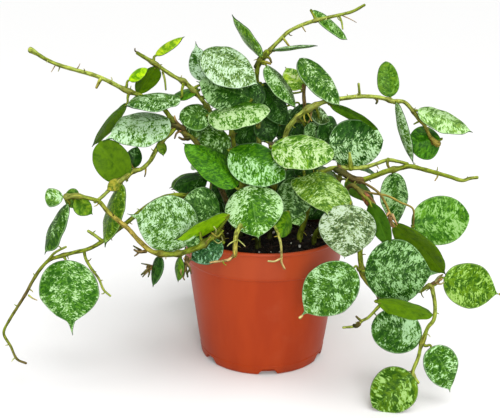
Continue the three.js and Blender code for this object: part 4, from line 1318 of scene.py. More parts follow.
# The vines: a shoot is a row for a stem, twig or root, and a blade is a row for a leaf
def shoot(start, end, names, *route):  # radius at both ends, tones along it, and the points it passes
    return {"thick": (start, end), "tones": names.split(), "route": route}


def blade(base, tip, width, faces, look, **more):
    return {"base": base, "tip": tip, "width": width, "faces": faces, "look": look, **more}


def fill(base, tip, width):  # a leaf painted dark as shade, that closes a gap in the crown
    return blade(base, tip, width, (0, -0.8, 0.5), "dark")


leftHigh = {
    "node": "vine_left_high",
    "stems": [
        shoot(1.5, 0.9, "dark dark brown brown olive olive lime lime olive", (-12, -4, 61.5),
            (-18, -5, 79.5), (-25, -7, 96.5), (-30.5, -9, 107), (-34, -10, 113), (-40, -11, 117.5),
            (-43, -11, 120.5), (-48.5, -10, 128), (-54.5, -10, 131.5), (-60.5, -10, 134.5),
            (-65.5, -11, 136.5), (-74, -12, 141), (-79.5, -13, 143.5), (-88, -14, 146), (-96, -15, 148.5),
            (-101.5, -15, 151), (-107, -15, 154.5)),
        shoot(1.2, 0.8, "olive lime", (-42.5, -11, 120), (-45, -14, 117), (-48.5, -17, 114),  # fall
            (-51.5, -20, 109.5), (-54, -21, 105), (-58, -23, 101.5), (-61, -24, 101), (-64.5, -26, 98.5),
            (-67, -27, 97), (-71.5, -29, 93.5), (-76, -31, 89.5), (-78.5, -32, 88)),
    ],
    "leaves": [
        blade((-64, -12, 141.5), (-54.5, -14, 147.5), 6.5, (0.3, -0.6, 0.7), "young"),
        blade((-66, -12, 130.5), (-83, -16, 111.5), 14, (-0.75, 0.3, 0.5), "mottled", widest=0.5,  # lens
            blunt=0.4, under="olive", share=0.56, green=(0.04, 0.12, 0.008)),
        blade((-45.5, -14, 123.5), (-74.5, -27, 117), 27, (0, -0.45, 0.9), "silver", blunt=0.25,
            sway=-0.05, point=0.2, share=0.68, fineness=1.3, silver=(0.43, 0.61, 0.39)),
        blade((-64.5, -25, 97), (-77.5, -19, 113), 18.5, (-0.1, 0.85, 0.3), "olive", under="olive",
            blunt=1, point=0, widest=0.48),
        blade((-63, -20, 101.5), (-60, -17, 111.5), 8, (0.4, -0.6, 0.4), "dark"),
        blade((-49, -18, 114), (-47.5, -21, 107.5), 6, (0.6, -0.6, 0.3), "olive",  # spur
            green=(0.08, 0.15, 0.008)),
        blade((-28.5, -10, 94.5), (-45, -15, 90.5), 15, (-0.1, -0.5, 0.85), "dark"),  # low
        blade((-67, -28, 97), (-73.5, -31, 93), 6, (0, -0.95, 0.3), "yellow",  # wedge
            green=(0.19, 0.195, 0.017), silver=(0.27, 0.28, 0.05), share=0.1, cup=0.3, widest=0.35,
            point=0.2),
        blade((-67, -27, 95.5), (-75, -39, 69), 17, (-0.75, -0.6, 0.1), "mottled", under="plain",  # hang
            widest=0.5, share=0.32, fineness=1.4, green=(0.06, 0.13, 0.003), silver=(0.32, 0.46, 0.14)),
    ],
    "roots": [
        shoot(1.1, 1.55, "lime lime", (-105.5, -15, 153.5), (-107, -15, 154.5), (-108, -15, 155)),
        shoot(1, 0.6, "lime ochre", (-77, -13, 142), (-78, -13.5, 140), (-79, -14, 138)),
        shoot(0.3, 0.15, "tan tan", (-97.5, -14, 148), (-98.5, -14, 146.5), (-99.5, -14, 145)),
        shoot(0.3, 0.15, "tan tan", (-87.5, -14, 146.5), (-86.5, -14, 148), (-86, -14, 149)),
        shoot(1.7, 1.4, "brown olive", (-37, -10, 114), (-40, -11, 118.5), (-44, -11, 122)),
        shoot(0.7, 0.4, "bud brown", (-40, -12, 118), (-42, -14, 117), (-43, -14, 114.5)),
        shoot(0.6, 0.3, "bud brown", (-42.5, -12, 121), (-44, -14, 119.5), (-45, -14, 120)),
        shoot(0.5, 0.3, "ochre brown", (-56, -22, 101.5), (-56, -23, 99.5), (-56.5, -23, 98)),
        shoot(0.5, 0.3, "ochre brown", (-61.5, -23, 101.5), (-62, -24, 103), (-62.5, -24, 104.5)),
        shoot(1.5, 1, "brown dark", (-39, -12, 119), (-42, -13.5, 120.5), (-45, -14, 121)),
        shoot(0.8, 0.4, "brown tan", (-41, -12, 120.5), (-42.5, -13, 123), (-43, -13, 125)),
        shoot(1, 0.5, "dark brown", (-36.5, -12, 114.5), (-39, -13.5, 114), (-41, -14, 115)),
    ],
}
leftShort = {
    "node": "vine_left_short",
    "stems": [
        shoot(1.4, 0.9, "dark olive olive lime olive", (-15.5, 8, 62), (-19.5, 7, 84), (-22.5, 5, 105),
            (-25, 2, 121.5), (-28, 0, 127), (-31.5, -2, 132), (-35, -3, 136), (-38.5, -4, 139.5),
            (-44.5, -5, 143), (-52.5, -6, 148.5), (-60.5, -7, 153.5)),
    ],
    "leaves": [
        blade((-52, -6, 152.5), (-39, -4, 161.5), 6, (-0.4, -0.7, 0.6), "young",
            green=(0.27, 0.42, 0.01)),
        blade((-52.5, -4, 147), (-63, 0, 133), 14, (-0.6, 0.6, 0.5), "olive", under="olive"),
        blade((-25.5, 0, 122.5), (-41.5, -2, 117.5), 18, (-0.2, -0.95, 0.2), "mottled",
            share=0.42),
        blade((-32.5, -1, 136), (-45.5, 0, 133), 13, (0, -0.3, 0.95), "plain", blunt=0.5),  # flat
        blade((-40.5, -15, 134.5), (-64, -26, 133), 24, (0, -0.2, 1), "silver", sway=-0.07,
            widest=0.5, share=0.5, fineness=1.5, green=(0.03, 0.1, 0.005), silver=(0.42, 0.6, 0.36)),
        blade((-27, -8, 125.5), (-41, -13, 124), 16.5, (-0.1, -0.7, 0.7), "mottled", blunt=0.6,  # crown
            point=0.04, share=0.42),
        blade((-30.5, -3, 140.5), (-34, -2, 158.5), 12, (-0.35, -0.9, 0.1), "teal", widest=0.36,  # curled
            point=0.22, share=0.6, silver=(0.4, 0.57, 0.38), fineness=1.6),
        blade((-29.5, -8, 154.5), (-3, -16, 141), 22, (0, -0.7, 0.7), "silver", widest=0.4,  # top
            share=0.63, fineness=2, by=[(-27, 1, 135), (-28.5, -2, 148)], gather=[(0.12, 0.3, 0.28, -0.25)],
            silver=(0.46, 0.61, 0.43), green=(0.06, 0.13, 0.02)),
    ],
    "roots": [
        shoot(0.6, 0.45, "lime olive", (-49, -5, 144.5), (-48, -6, 141), (-47.5, -7, 136.5)),
        shoot(0.5, 0.3, "brown brown", (-60, -7, 153.5), (-61.5, -7, 154.5), (-61.5, -7, 155.5)),
    ],
}
leftTrailing = {
    "node": "vine_left_trailing",
    "stems": [
        shoot(1.5, 0.55, "dark olive olive olive olive olive olive brown olive brown", (-20.5, -14, 63.5),
            (-25.5, -17, 74), (-31.5, -22, 84.5), (-38.5, -27, 90), (-44.5, -30, 90.5), (-51.5, -32, 88),
            (-61.5, -33, 80.5), (-65.5, -32, 77), (-71.5, -31, 72), (-76, -31, 68.5), (-82.5, -32, 65),
            (-89.5, -35, 64), (-95.5, -36, 62.5), (-100, -37, 61), (-104, -38, 57), (-108, -39, 51),
            (-111, -40, 45.5), (-115.5, -41, 38.5), (-119, -42, 33), (-122, -43, 26.5), (-119, -44, 20.5),
            (-116, -45, 14), (-112, -45, 12)),
        shoot(0.9, 0.7, "olive lime", (-76, -31, 68.5), (-79, -31, 71), (-82.5, -31, 73.5)),  # stub
        shoot(0.8, 0.5, "olive lime", (-84, -34, 65), (-83.5, -35, 61.5), (-81, -36, 57),  # twig
            (-77.5, -36, 51.5), (-75.5, -36, 46), (-72.5, -36, 43)),
        shoot(0.7, 0.5, "olive lime", (-100.5, -37, 60.5), (-97.5, -38, 64.5), (-94.5, -38, 66.5),  # arch
            (-91.5, -38, 68)),
    ],
    "leaves": [
        blade((-92.5, -37, 61), (-91, -40, 23.5), 28.5, (0, -1, 0.12), "bright", share=0.48,  # spade
            fineness=1.5, point=0.3, green=(0.034, 0.125, 0.006), silver=(0.4, 0.6, 0.3)),
    ],
    "roots": [
        shoot(0.5, 0.25, "lime tan", (-109.5, -41, 45), (-107.5, -42, 44), (-105.5, -42, 43)),
        shoot(0.5, 0.3, "ochre tan", (-71, -31, 79.5), (-69, -32, 78), (-68.5, -32, 76)),
    ],
}
frontGolden = {
    "node": "vine_front_golden",
    "stems": [
        shoot(1.5, 0.9, "dark brown olive olive olive ochre ochre olive lime", (-20.5, -22, 62),
            (-20, -25, 67.5), (-21, -31, 73), (-22.5, -37, 74), (-26, -42, 73), (-30, -45, 71),
            (-33, -47, 70.5), (-40, -49, 69), (-50, -48, 69.5), (-56, -46, 73.5), (-61.5, -45, 79.5),
            (-66, -44, 83), (-70.5, -43, 86.5), (-74.5, -42, 91), (-79, -42, 92.5), (-84.5, -42, 93.5),
            (-89, -42, 93)),
    ],
    "leaves": [
        blade((-30.5, -44, 78), (-60, -52, 88), 26, (-0.1, -0.97, 0.2), "silver", point=0.2,  # big
            fineness=2.1, share=0.58, silver=(0.4, 0.58, 0.36)),
        blade((-21, -36, 84), (-38, -41, 92), 21.5, (-0.2, -0.75, 0.6), "teal",  # behind
            green=(0.02, 0.07, 0.006), fineness=1.7, share=0.38),
        blade((-17.5, -41, 85), (-40.5, -53, 78.5), 21, (-0.2, 0.62, 0.75), "mottled", under="lime",  # under
            blunt=0.2),
        blade((-19.5, -42, 72), (-34, -47, 65.5), 12.5, (-0.1, -0.8, 0.6), "teal", blunt=0.4,  # rim
            fineness=1.6, share=0.42, green=(0.012, 0.056, 0.016), silver=(0.21, 0.4, 0.27)),
        blade((-47, -48, 67.5), (-51, -50, 53.5), 7.5, (-0.6, -0.7, 0.2), "dark", widest=0.35),  # first drop
        blade((-38, -49, 67.5), (-39.5, -50, 56), 7, (-0.7, -0.6, 0.2), "olive", blunt=0.5),  # second drop
        blade((-90.5, -42, 93), (-98, -44, 93), 8.5, (0, -0.95, 0.3), "silver", widest=0.7, blunt=0.9,  # cup
            point=0, green=(0.06, 0.15, 0.012), share=0.5),
        blade((-83.5, -40, 92), (-91, -40, 92), 9, (0, -0.9, 0.4), "olive", blunt=0.8,  # hood
            green=(0.05, 0.12, 0.01)),
        blade((-85.5, -41, 91.5), (-77.5, -41, 85), 10, (0.2, -0.5, 0.8), "olive",  # low
            green=(0.08, 0.165, 0.008)),
        blade((-88.5, -42, 89.5), (-100.5, -46, 67.5), 13, (-0.75, -0.6, 0.1), "mottled",  # hang
            widest=0.64, fineness=1.4, share=0.36),
        blade((-28, -43, 72.5), (-36.5, -46, 74.5), 9, (-0.1, -0.9, 0.4), "teal", share=0.5,  # tuck
            fineness=1.6),
    ],
    "roots": [
        shoot(0.45, 0.3, "olive ochre", (-19, -44, 78.5), (-21.5, -46, 76.5), (-24, -47, 78.5)),
        shoot(0.35, 0.2, "olive pale", (-23.5, -47, 75.5), (-21, -48, 74), (-19.5, -47, 74.5)),
        shoot(0.45, 0.25, "ochre brown", (-24.5, -47, 76.5), (-26, -48, 75), (-26.5, -48, 73.5)),
        shoot(0.4, 0.25, "olive pale", (-22.5, -46, 76.5), (-22, -47, 80), (-23, -47, 81.5)),
        shoot(0.9, 0.4, "brown dark", (-51.5, -47, 62), (-53.5, -48, 60.5), (-55.5, -49, 59)),
        shoot(0.7, 0.3, "brown dark", (-53, -47, 62), (-52, -48, 60), (-52.5, -49, 58)),
        shoot(0.9, 0.5, "brown brown", (-53.5, -47, 69.5), (-56.5, -48, 69.5), (-58.5, -48, 70.5)),
        shoot(0.9, 0.4, "brown dark", (-35, -49, 67.5), (-35.5, -50, 64), (-34.5, -51, 59)),
        shoot(0.7, 0.3, "brown brown", (-33.5, -49, 67), (-35.5, -51, 63), (-36.5, -51, 58.5)),
        shoot(0.6, 0.3, "bud dark", (-36, -49, 67), (-33.5, -51, 63.5), (-33, -51, 60.5)),
        shoot(0.7, 0.3, "brown dark", (-56, -46, 69.5), (-57.5, -47, 71), (-59, -47, 72)),
        shoot(0.6, 0.3, "bud brown", (-56.5, -46, 69), (-57.5, -47, 68), (-58.5, -48, 67.5)),
        shoot(0.6, 0.25, "brown dark", (-51, -47, 62.5), (-53, -48, 63.5), (-55.5, -48, 64)),
        shoot(0.6, 0.3, "bud dark", (-51.5, -47, 61), (-53.5, -48, 59.5), (-55, -49, 58)),
        shoot(0.8, 0.4, "brown dark", (-35.5, -50, 65.5), (-33.5, -51, 63), (-35, -51, 60.5)),
        shoot(0.6, 0.3, "bud brown", (-36, -50, 64), (-37.5, -51, 61.5), (-36, -51, 57.5)),
    ],
}
frontCentre = {
    "node": "vine_front_centre",
    "stems": [
        shoot(1.5, 1, "dark dark olive olive", (-3, -22, 63.5), (-4, -25, 75.5), (-7, -26, 85.5),
            (-10.5, -24, 94), (-13.5, -20, 102), (-16, -18, 110)),
        shoot(1.3, 1, "olive lime ochre", (-6, -26, 83), (-10, -33, 79.5), (-13, -40, 76),  # left rootlet
            (-13.5, -44, 71.5), (-13.5, -45.5, 67.5)),
        shoot(0.8, 0.5, "tan tan", (-13.5, -45.5, 68), (-16, -47, 66), (-19.5, -49, 66),  # tan rootlet
            (-24.5, -50, 65.5)),
        shoot(0.8, 0.5, "olive lime tan", (-1.5, -24, 80.5), (3, -32, 79), (5.5, -39, 77),  # right rootlet
            (7, -44, 73), (7.5, -45, 67.5), (7.5, -45, 64.5), (9, -45, 61)),
        shoot(0.5, 0.4, "tan pale", (7.5, -45, 66.5), (4.5, -46, 65), (1.5, -46, 65)),  # forked rootlet
    ],
    "leaves": [
        blade((-7, -30, 96), (-3, -40, 73), 27.5, (-0.1, -0.95, 0.3), "bright",  # front
            gather=[(0.5, 0.05, 0.28, -0.25), (0.35, -0.7, 0.3, 0.2), (0.5, 0.85, 0.25, 0.25)],
            fineness=1.6, share=0.49, silver=(0.43, 0.64, 0.33), green=(0.04, 0.14, 0.002)),
        blade((-16.5, -22, 110.5), (9.5, -35, 101), 22, (-0.05, -0.72, 0.68), "bright", blunt=0.5,  # middle
            point=0.06, gather=[(0.25, 0.5, 0.35, -0.5), (0.35, -0.4, 0.3, 0.3), (0.8, 0.2, 0.3, 0.1)],
            share=0.49, fineness=1.3, silver=(0.33, 0.55, 0.27), green=(0.037, 0.145, 0.002)),
        blade((-13.5, -31, 95.5), (-38, -18, 114.5), 20.5, (0.45, -0.55, 0.7), "plain", blunt=0.5,  # under
            sway=-0.07, point=0.05, green=(0.04, 0.152, 0.0005), silver=(0.1, 0.29, 0.015), share=0.34,
            fineness=1.5),
        blade((11.5, -22, 80.5), (6.5, -34, 72), 11, (0.5, -0.8, 0.2), "plain",  # spur
            green=(0.07, 0.17, 0.004)),
    ],
    "roots": [
        shoot(0.4, 0.2, "lime pale", (-13, -45, 74.5), (-15.5, -46, 73.5), (-17, -46, 72)),
        shoot(0.4, 0.2, "lime pale", (-12, -45, 74.5), (-10.5, -46, 73.5), (-9, -46, 72)),
    ],
}
crownLeft = {
    "node": "vine_crown_left",
    "stems": [
        shoot(1.5, 0.9, "dark dark olive olive", (-9, 2, 63), (-11, 0, 80.5), (-14, -2, 99),
            (-16, -4, 114.5), (-19, -5, 126), (-21.5, -3, 131.5), (-24, -1, 137)),
    ],
    "leaves": [
        blade((-27, -12, 125.5), (1.5, -22, 130.5), 24, (0, -0.42, 0.9), "bright", blunt=0.85,
            point=0.02, share=0.7, fineness=1.3, silver=(0.4, 0.56, 0.27),
            gather=[(0.45, 0.85, 0.35, -0.6)]),
        blade((-7.5, -6, 132.5), (-32.5, -8, 141.5), 21, (-0.1, -0.75, 0.6), "teal", blunt=0.5,
            fineness=1.3, gather=[(0.2, 0, 0.35, -0.3), (0.8, 0, 0.3, 0.12)]),
        blade((-2, -4, 138.5), (-12.5, -5, 130), 14, (0.1, -0.8, 0.5), "dark"),  # shade
        blade((-14, 1.5, 89.5), (-26.5, 0.5, 80.5), 17, (-0.15, -0.97, 0.15), "dark"),  # inner
        blade((-18, -6, 114.5), (-32.5, -10, 108), 20, (-0.3, -0.85, 0.4), "mottled"),  # inner
        fill((-9, 0, 98.5), (-14, -5, 87), 17),
        fill((-10.5, 2, 82.5), (-20, 0, 73), 17),
        fill((-23.5, 15, 76.5), (-20.5, 13, 67), 14),
    ],
}
crownRight = {
    "node": "vine_crown_right",
    "stems": [
        shoot(1.4, 0.9, "dark dark olive olive", (3, -8, 64.5), (4, -10, 78.5), (4.5, -14, 92),
            (4.5, -17, 103), (4, -20, 110.5)),
        shoot(1.2, 0.8, "olive lime", (4, -10, 81), (12.5, -13, 89.5), (20.5, -17, 96.5),  # side
            (27, -20, 100.5)),
    ],
    "leaves": [
        blade((3, -25, 113.5), (30.5, -37, 113), 22, (0, -0.6, 0.8), "bright", blunt=0.75,
            point=0.03, green=(0.075, 0.19, 0.008), silver=(0.42, 0.56, 0.27), share=0.56, fineness=1.1),
        blade((24, -27, 102), (27.5, -48, 88), 26.5, (0.05, -0.55, 0.8), "bright", skew=0.5,  # kite
            point=0.14, green=(0.08, 0.17, 0.01), silver=(0.38, 0.52, 0.22), share=0.5, fineness=1.5,
            blunt=0),
        blade((16, -16, 96.5), (11.5, -21, 75.5), 18, (-0.2, -0.9, 0.3), "teal",
            green=(0.024, 0.082, 0.008), share=0.5, fineness=1.5),
        blade((8, -9, 95.5), (19, -6, 84.5), 16, (0.2, -0.8, 0.5), "dark"),  # inner
        blade((13.5, -15, 82.5), (17, -22, 74), 11, (0.3, -0.9, 0.2), "bright"),  # small
        fill((5, -6, 102.5), (-1.5, -10, 90.5), 18),
        fill((17.5, -10, 89), (24, -13, 76.5), 18),
        fill((25, 12, 77.5), (30.5, 10, 67.5), 16),
        fill((19, -4, 102.5), (23, -8, 94.5), 14),
        fill((2.5, -8, 93), (7.5, -12, 86), 13),
    ],
}
crownTop = {
    "node": "vine_top",
    "stems": [
        shoot(1.7, 0.7, "dark olive olive lime olive olive lime lime olive", (-0.5, 8, 63.5), (-1, 8, 84),
            (-2.5, 7, 105), (-3.5, 6, 122.5), (-4.5, 4, 140.5), (-3, 3, 149.5), (1, 3, 153.5),
            (3.5, 3, 156.5), (7, 3, 160), (10, 3, 163), (15.5, 3, 166), (22.5, 3, 168.5), (28.5, 3, 170),
            (35, 3, 171.5), (40.5, 3, 173), (46, 3, 176)),
        shoot(0.6, 0.4, "olive lime", (34.5, 3, 171), (35.5, 2, 168), (36, 1, 165)),  # curl
    ],
    "leaves": [
        blade((-2.5, 1, 151.5), (-17.5, -3, 170), 13.5, (-0.85, -0.3, 0.6), "bright",  # left
            green=(0.07, 0.17, 0.004), share=0.4),
        blade((-2, 4, 138.5), (12, 2, 117.5), 16, (0.6, -0.75, 0.2), "dark"),
        blade((-4.5, 9, 116.5), (-17, 11, 108.5), 17, (-0.1, -0.85, 0.5), "dark"),  # inner
        blade((1, 9, 96.5), (-10, 8, 84.5), 17, (-0.2, -0.85, 0.4), "dark"),  # inner
        blade((2.5, 4, 154.5), (24, 0, 158.5), 12, (0, 0.15, 1), "silver"),  # edge
        blade((22, 6, 173), (40, 8, 160.5), 10.5, (0.5, -0.5, 0.7), "bright", widest=0.46,  # crossed
            blunt=0.4, point=0.02),
        blade((0.5, 0, 147.5), (15.5, -9, 129), 18, (0.75, -0.45, 0.5), "mottled",  # two tones: one half painted lighter, the other painted in shade
            halves=(1.1, 0.6), silver=(0.34, 0.5, 0.26), share=0.55, fineness=1.6),
        blade((17.5, 9, 135.5), (10, 13, 146), 13, (0.3, -0.8, 0.5), "young",
            green=(0.2, 0.36, 0.025), silver=(0.58, 0.68, 0.32), share=0.46),
        fill((10, 9, 125), (1, 10, 111), 18),
        fill((17, 9, 127.5), (23.5, 11, 112), 17),
        fill((16, 10, 119), (9, 11, 104.5), 18),
        fill((-1.5, 6, 122), (4, 4, 109), 13),
    ],
    "roots": [
        shoot(1.6, 1.8, "dark olive", (-4.5, 4, 146.5), (-2.5, 3, 150), (0.5, 3, 153.5)),
        shoot(1, 0.6, "olive ochre", (-2, 2, 149), (0, 1, 149), (2, 0, 148.5)),
        shoot(0.9, 0.5, "olive brown", (-1, 3, 151.5), (1.5, 2, 151), (2.5, 1, 149)),
        shoot(0.5, 0.25, "lime tan", (16.5, 3, 167), (17.5, 2, 165), (18.5, 2, 163.5)),
        shoot(0.3, 0.15, "tan tan", (36, 3, 171), (39.5, 2, 169.5), (42.5, 2, 168)),
        shoot(0.7, 0.5, "lime ochre", (7.5, 3, 161), (9.5, 1, 158.5), (11, 0, 156.5)),
    ],
}
rightArch = {
    "node": "vine_right_arch",
    "stems": [
        shoot(1.7, 0.8, "dark olive lime lime lime lime ochre", (12.5, 2, 62), (11, 1, 80.5), (9.5, -1, 99),
            (10.5, -3, 116.5), (15, -4, 123), (20, -5, 127.5), (26, -5, 130.5), (30.5, -5, 132),
            (37, -5, 133), (44.5, -5, 134), (52, -6, 134), (57.5, -6, 133), (61, -7, 132), (65.5, -7, 132),
            (69.5, -8, 128.5), (73, -8, 124), (76, -8, 121), (79, -9, 115.5), (80.5, -9, 112.5)),
        shoot(1.1, 0.8, "brown brown", (19, -4, 127), (18.5, -1, 132.5), (18.5, 2, 138)),  # stub
        shoot(0.7, 0.6, "olive lime", (44.5, -5, 134), (44, -5, 140)),  # nub
        shoot(0.6, 0.4, "olive lime", (74, -8, 123), (71, -8, 121.5)),  # side
    ],
    "leaves": [
        blade((16, 0, 151), (36, -11, 130.5), 14, (0.35, -0.8, 0.45), "mottled", blunt=0.6,
            by=[(20, 2, 140), (18, 3, 149)], fineness=1.35, share=0.4, widest=0.38,
            silver=(0.42, 0.58, 0.33)),
        blade((59.5, -5, 134), (57, -3, 150.5), 11, (0.15, -0.95, 0.1), "olive", blunt=0.85,  # upright
            point=0, widest=0.38, green=(0.062, 0.155, 0.006), silver=(0.15, 0.3, 0.05), share=0.38,
            fineness=1.2),
        blade((61.8, -9, 131.8), (69.8, -13, 102.5), 8.6, (-0.85, -0.35, 0.2), "silver",  # narrow
            widest=0.5, share=0.62, fineness=1.5),
        blade((72, -10, 128.5), (97.5, -16, 120.5), 17, (0.15, -0.5, 0.85), "silver", blunt=0.4,  # folded, one half painted in shade
            share=0.6, fineness=1.2, halves=(1, 0.8), green=(0.09, 0.2, 0.025), silver=(0.42, 0.62, 0.29)),
        blade((84.2, -8, 114.5), (69.8, -10, 112.5), 17, (-0.1, -0.9, 0.4), "plain", blunt=0.9,  # cupped
            point=0, cup=0.5, green=(0.04, 0.15, 0.003), silver=(0.1, 0.3, 0.02), share=0.3),
        blade((31, -3, 130), (54.5, -8, 120), 9.5, (0.2, 0.6, 0.76), "olive", under="plain",  # under
            blunt=0.8, point=0),
        blade((30.5, -11, 111), (57, -10, 114), 23.5, (0, -0.97, 0.25), "teal", blunt=0.9,  # disc
            point=0.02, gather=[(0.5, 0.6, 0.4, -0.5), (0.6, -0.1, 0.35, 0.12)], fineness=1.5, share=0.64,
            green=(0.014, 0.065, 0.004), silver=(0.4, 0.6, 0.33), by=[(19, 4, 119), (26, 2, 108)]),
        blade((27.5, 0, 121), (36.5, 3, 110.5), 16, (0.3, -0.8, 0.5), "dark"),  # inner
        blade((11.5, 3, 106), (22.5, 5, 94), 17, (0.2, -0.85, 0.5), "dark"),  # inner
        blade((22, -1, 126.5), (32.5, 2, 120.5), 9.5, (0.3, -0.7, 0.5), "silver",
            green=(0.03, 0.06, 0.01), share=0.45, fineness=1.5),
        blade((21, 1, 119.5), (26.5, 2, 110.5), 9, (0, -0.8, 0.5), "teal"),  # fill
    ],
    "roots": [
        shoot(0.8, 0.5, "brown dark", (52.5, -6, 133.5), (53, -7, 132), (52.5, -7, 131)),
        shoot(1.1, 1.7, "ochre ochre", (79.5, -10, 115), (81, -11, 113.5), (82.5, -11, 112.5)),
        shoot(0.6, 0.3, "olive ochre", (19.5, -5, 126.5), (21, -7, 124.5), (22, -8, 122.5)),
        shoot(0.5, 0.3, "olive ochre", (18.5, -5, 125.5), (18.5, -7, 123.5), (19, -8, 122)),
        shoot(0.6, 0.3, "brown brown", (22, -5, 126.5), (21.5, -7, 124), (20.5, -8, 121.5)),
    ],
}
rightLong = {
    "node": "vine_right_long",
    "stems": [
        shoot(1.6, 0.8, "dark olive olive olive lime lime olive", (18, -10, 62.5), (20.5, -12, 76.5),
            (23, -15, 90), (28.5, -18, 100.5), (34, -20, 102.5), (40, -21, 102.5), (46, -21, 103),
            (51, -21, 104.5), (57.5, -20, 106.5), (61.5, -20, 106), (66.5, -21, 105)),
        shoot(1.5, 0.8, "brown olive olive olive olive lime", (35, -20, 102), (39.5, -23, 99),  # lower
            (44.5, -25, 98), (50, -26, 100), (56, -26, 102.5), (62, -26, 104), (66.5, -26, 105),
            (72, -27, 104), (78.5, -28, 102.5), (84.5, -29, 101), (90.5, -30, 99.5), (93.5, -30, 100.5),
            (97, -30, 101)),
        shoot(1.5, 0.6, "olive lime", (40, -21, 102.5), (39, -22, 110)),  # spike
    ],
    "leaves": [
        blade((60, -23, 101), (63.5, -27, 76.5), 17, (0.5, -0.85, 0.1), "teal",  # striped
            gather=[(0.4, -0.8, 0.35, 0.3), (0.4, 0, 0.3, -0.4), (0.4, 0.6, 0.3, 0.3)]),
    ],
    "roots": [
        shoot(1.5, 1.8, "dark brown", (33, -22, 102), (37, -24, 100.5), (41, -26, 98.5), (44.5, -26, 98)),
        shoot(0.5, 0.3, "brown olive", (39, -25, 100.5), (38, -27, 99), (37, -28, 97.5)),
        shoot(0.5, 0.3, "olive brown", (42, -27, 98.5), (40.5, -29, 96), (41.5, -30, 94.5)),
        shoot(0.8, 0.6, "olive brown", (57.5, -20, 107), (57, -22, 105), (57.5, -24, 103.5)),
        shoot(0.5, 0.3, "lime tan", (79.5, -28, 102.5), (79, -29, 101), (78, -29, 99)),
    ],
}
rightOuter = {
    "node": "vine_right_outer",
    "stems": [
        shoot(1.3, 0.8, "dark olive brown olive olive lime olive lime", (25, -12, 62), (31, -17, 77),
            (36, -23, 89.5), (40, -28, 96), (45.5, -34, 92.5), (50, -38, 87.5), (54.5, -41, 77.5),
            (58.5, -43, 67.5), (64, -46, 58), (69.5, -50, 53), (74, -52, 56.5), (75.5, -53, 52.5),
            (76.5, -54, 46.5), (76, -55, 41), (73.5, -56, 38), (72, -57, 34), (70.5, -58, 29.5),
            (69.5, -59, 24.5), (67.5, -60, 19), (67, -61, 17.5), (69.5, -62, 13.5)),
        shoot(0.6, 0.4, "brown ochre brown", (43.5, -31, 94.5), (49, -34, 94), (55, -36, 93.5),  # tan stem
            (61, -38, 91), (66.5, -39, 88.5), (67, -40, 84.5), (67, -40, 79.5)),
    ],
    "leaves": [
        blade((66.5, -40, 80.5), (93, -38, 85.5), 22.5, (0, -0.95, 0.3), "bright", blunt=0.9,  # light
            point=0, widest=0.5, fineness=1.1, share=0.5, silver=(0.23, 0.41, 0.12)),
        blade((58.5, -40, 81.5), (83.5, -46, 60.5), 19, (0.45, 0.72, 0.5), "mottled",  # arched
            under="olive", widest=0.55, blunt=0.3),
        blade((80, -52, 60), (107.5, -49, 51), 20.5, (0, -0.95, 0.3), "yellow", widest=0.5,
            point=0.12, fineness=1.3, share=0.46, green=(0.05, 0.125, 0.001)),
        blade((75, -59, 29.5), (86, -59, 6.5), 16.5, (0.2, -0.95, 0.2), "mottled", sway=0.06,  # low right
            point=0.12, silver=(0.4, 0.62, 0.33), share=0.46, fineness=1.4, green=(0.034, 0.12, 0.003)),
        blade((67, -62, 17), (49, -65, 2), 20.5, (-0.1, -0.92, 0.4), "yellow", blunt=0.6,  # lowest
            point=0.04, fineness=0.85, share=0.46, silver=(0.28, 0.45, 0.13), green=(0.045, 0.11, 0.001)),
        blade((71, -56, 33), (49, -51, 36), 20.5, (0, -0.97, 0.25), "teal", blunt=1, point=0,  # round
            widest=0.5, fineness=1.5, gather=[(0.6, 0.4, 0.4, -0.25), (0.3, -0.4, 0.45, 0.2)], share=0.54,
            green=(0.019, 0.08, 0.002), silver=(0.31, 0.5, 0.26)),
        blade((47, -42, 91.5), (56.5, -48, 73), 11, (0.5, 0.75, 0.3), "olive", under="deep",  # behind
            blunt=0.5),
        blade((44, -33, 94.5), (51, -40, 86), 4.5, (-0.3, -0.9, 0.2), "yellow",  # dry
            green=(0.2, 0.075, 0.035), silver=(0.26, 0.12, 0.06), share=0.2),
    ],
    "roots": [
        shoot(0.6, 0.6, "brown ochre", (44, -30, 98.5), (48.5, -33, 96.5), (51.5, -35, 94.5), (54, -37, 91),
            (56, -39, 86.5), (57, -40, 83)),
        shoot(1.2, 0.8, "bud bud", (56.5, -40, 84.5), (56.5, -41, 82.5), (58, -41, 80.5)),
        shoot(0.9, 0.6, "brown bud", (74.5, -52, 57), (76.5, -53, 59), (78.5, -53, 60)),
        shoot(0.6, 0.7, "ochre pale", (106.5, -49, 51.5), (107.5, -49, 51)),
        shoot(0.7, 0.5, "bud tan", (55.5, -40, 86.5), (54, -42, 84.5), (55, -42, 81.5)),
        shoot(0.8, 0.4, "tan bud", (57, -41, 86), (58, -43, 84), (59, -43, 82)),
        shoot(0.6, 0.3, "brown bud", (56.5, -42, 83), (56, -43, 80.5), (55, -43, 79)),
        shoot(0.7, 0.4, "pale brown", (76, -53, 59), (77, -54, 61.5), (78.5, -54, 62.5)),
        shoot(0.5, 0.3, "bud pale", (76.5, -53, 58), (78, -54, 58), (79.5, -54, 59)),
    ],
}
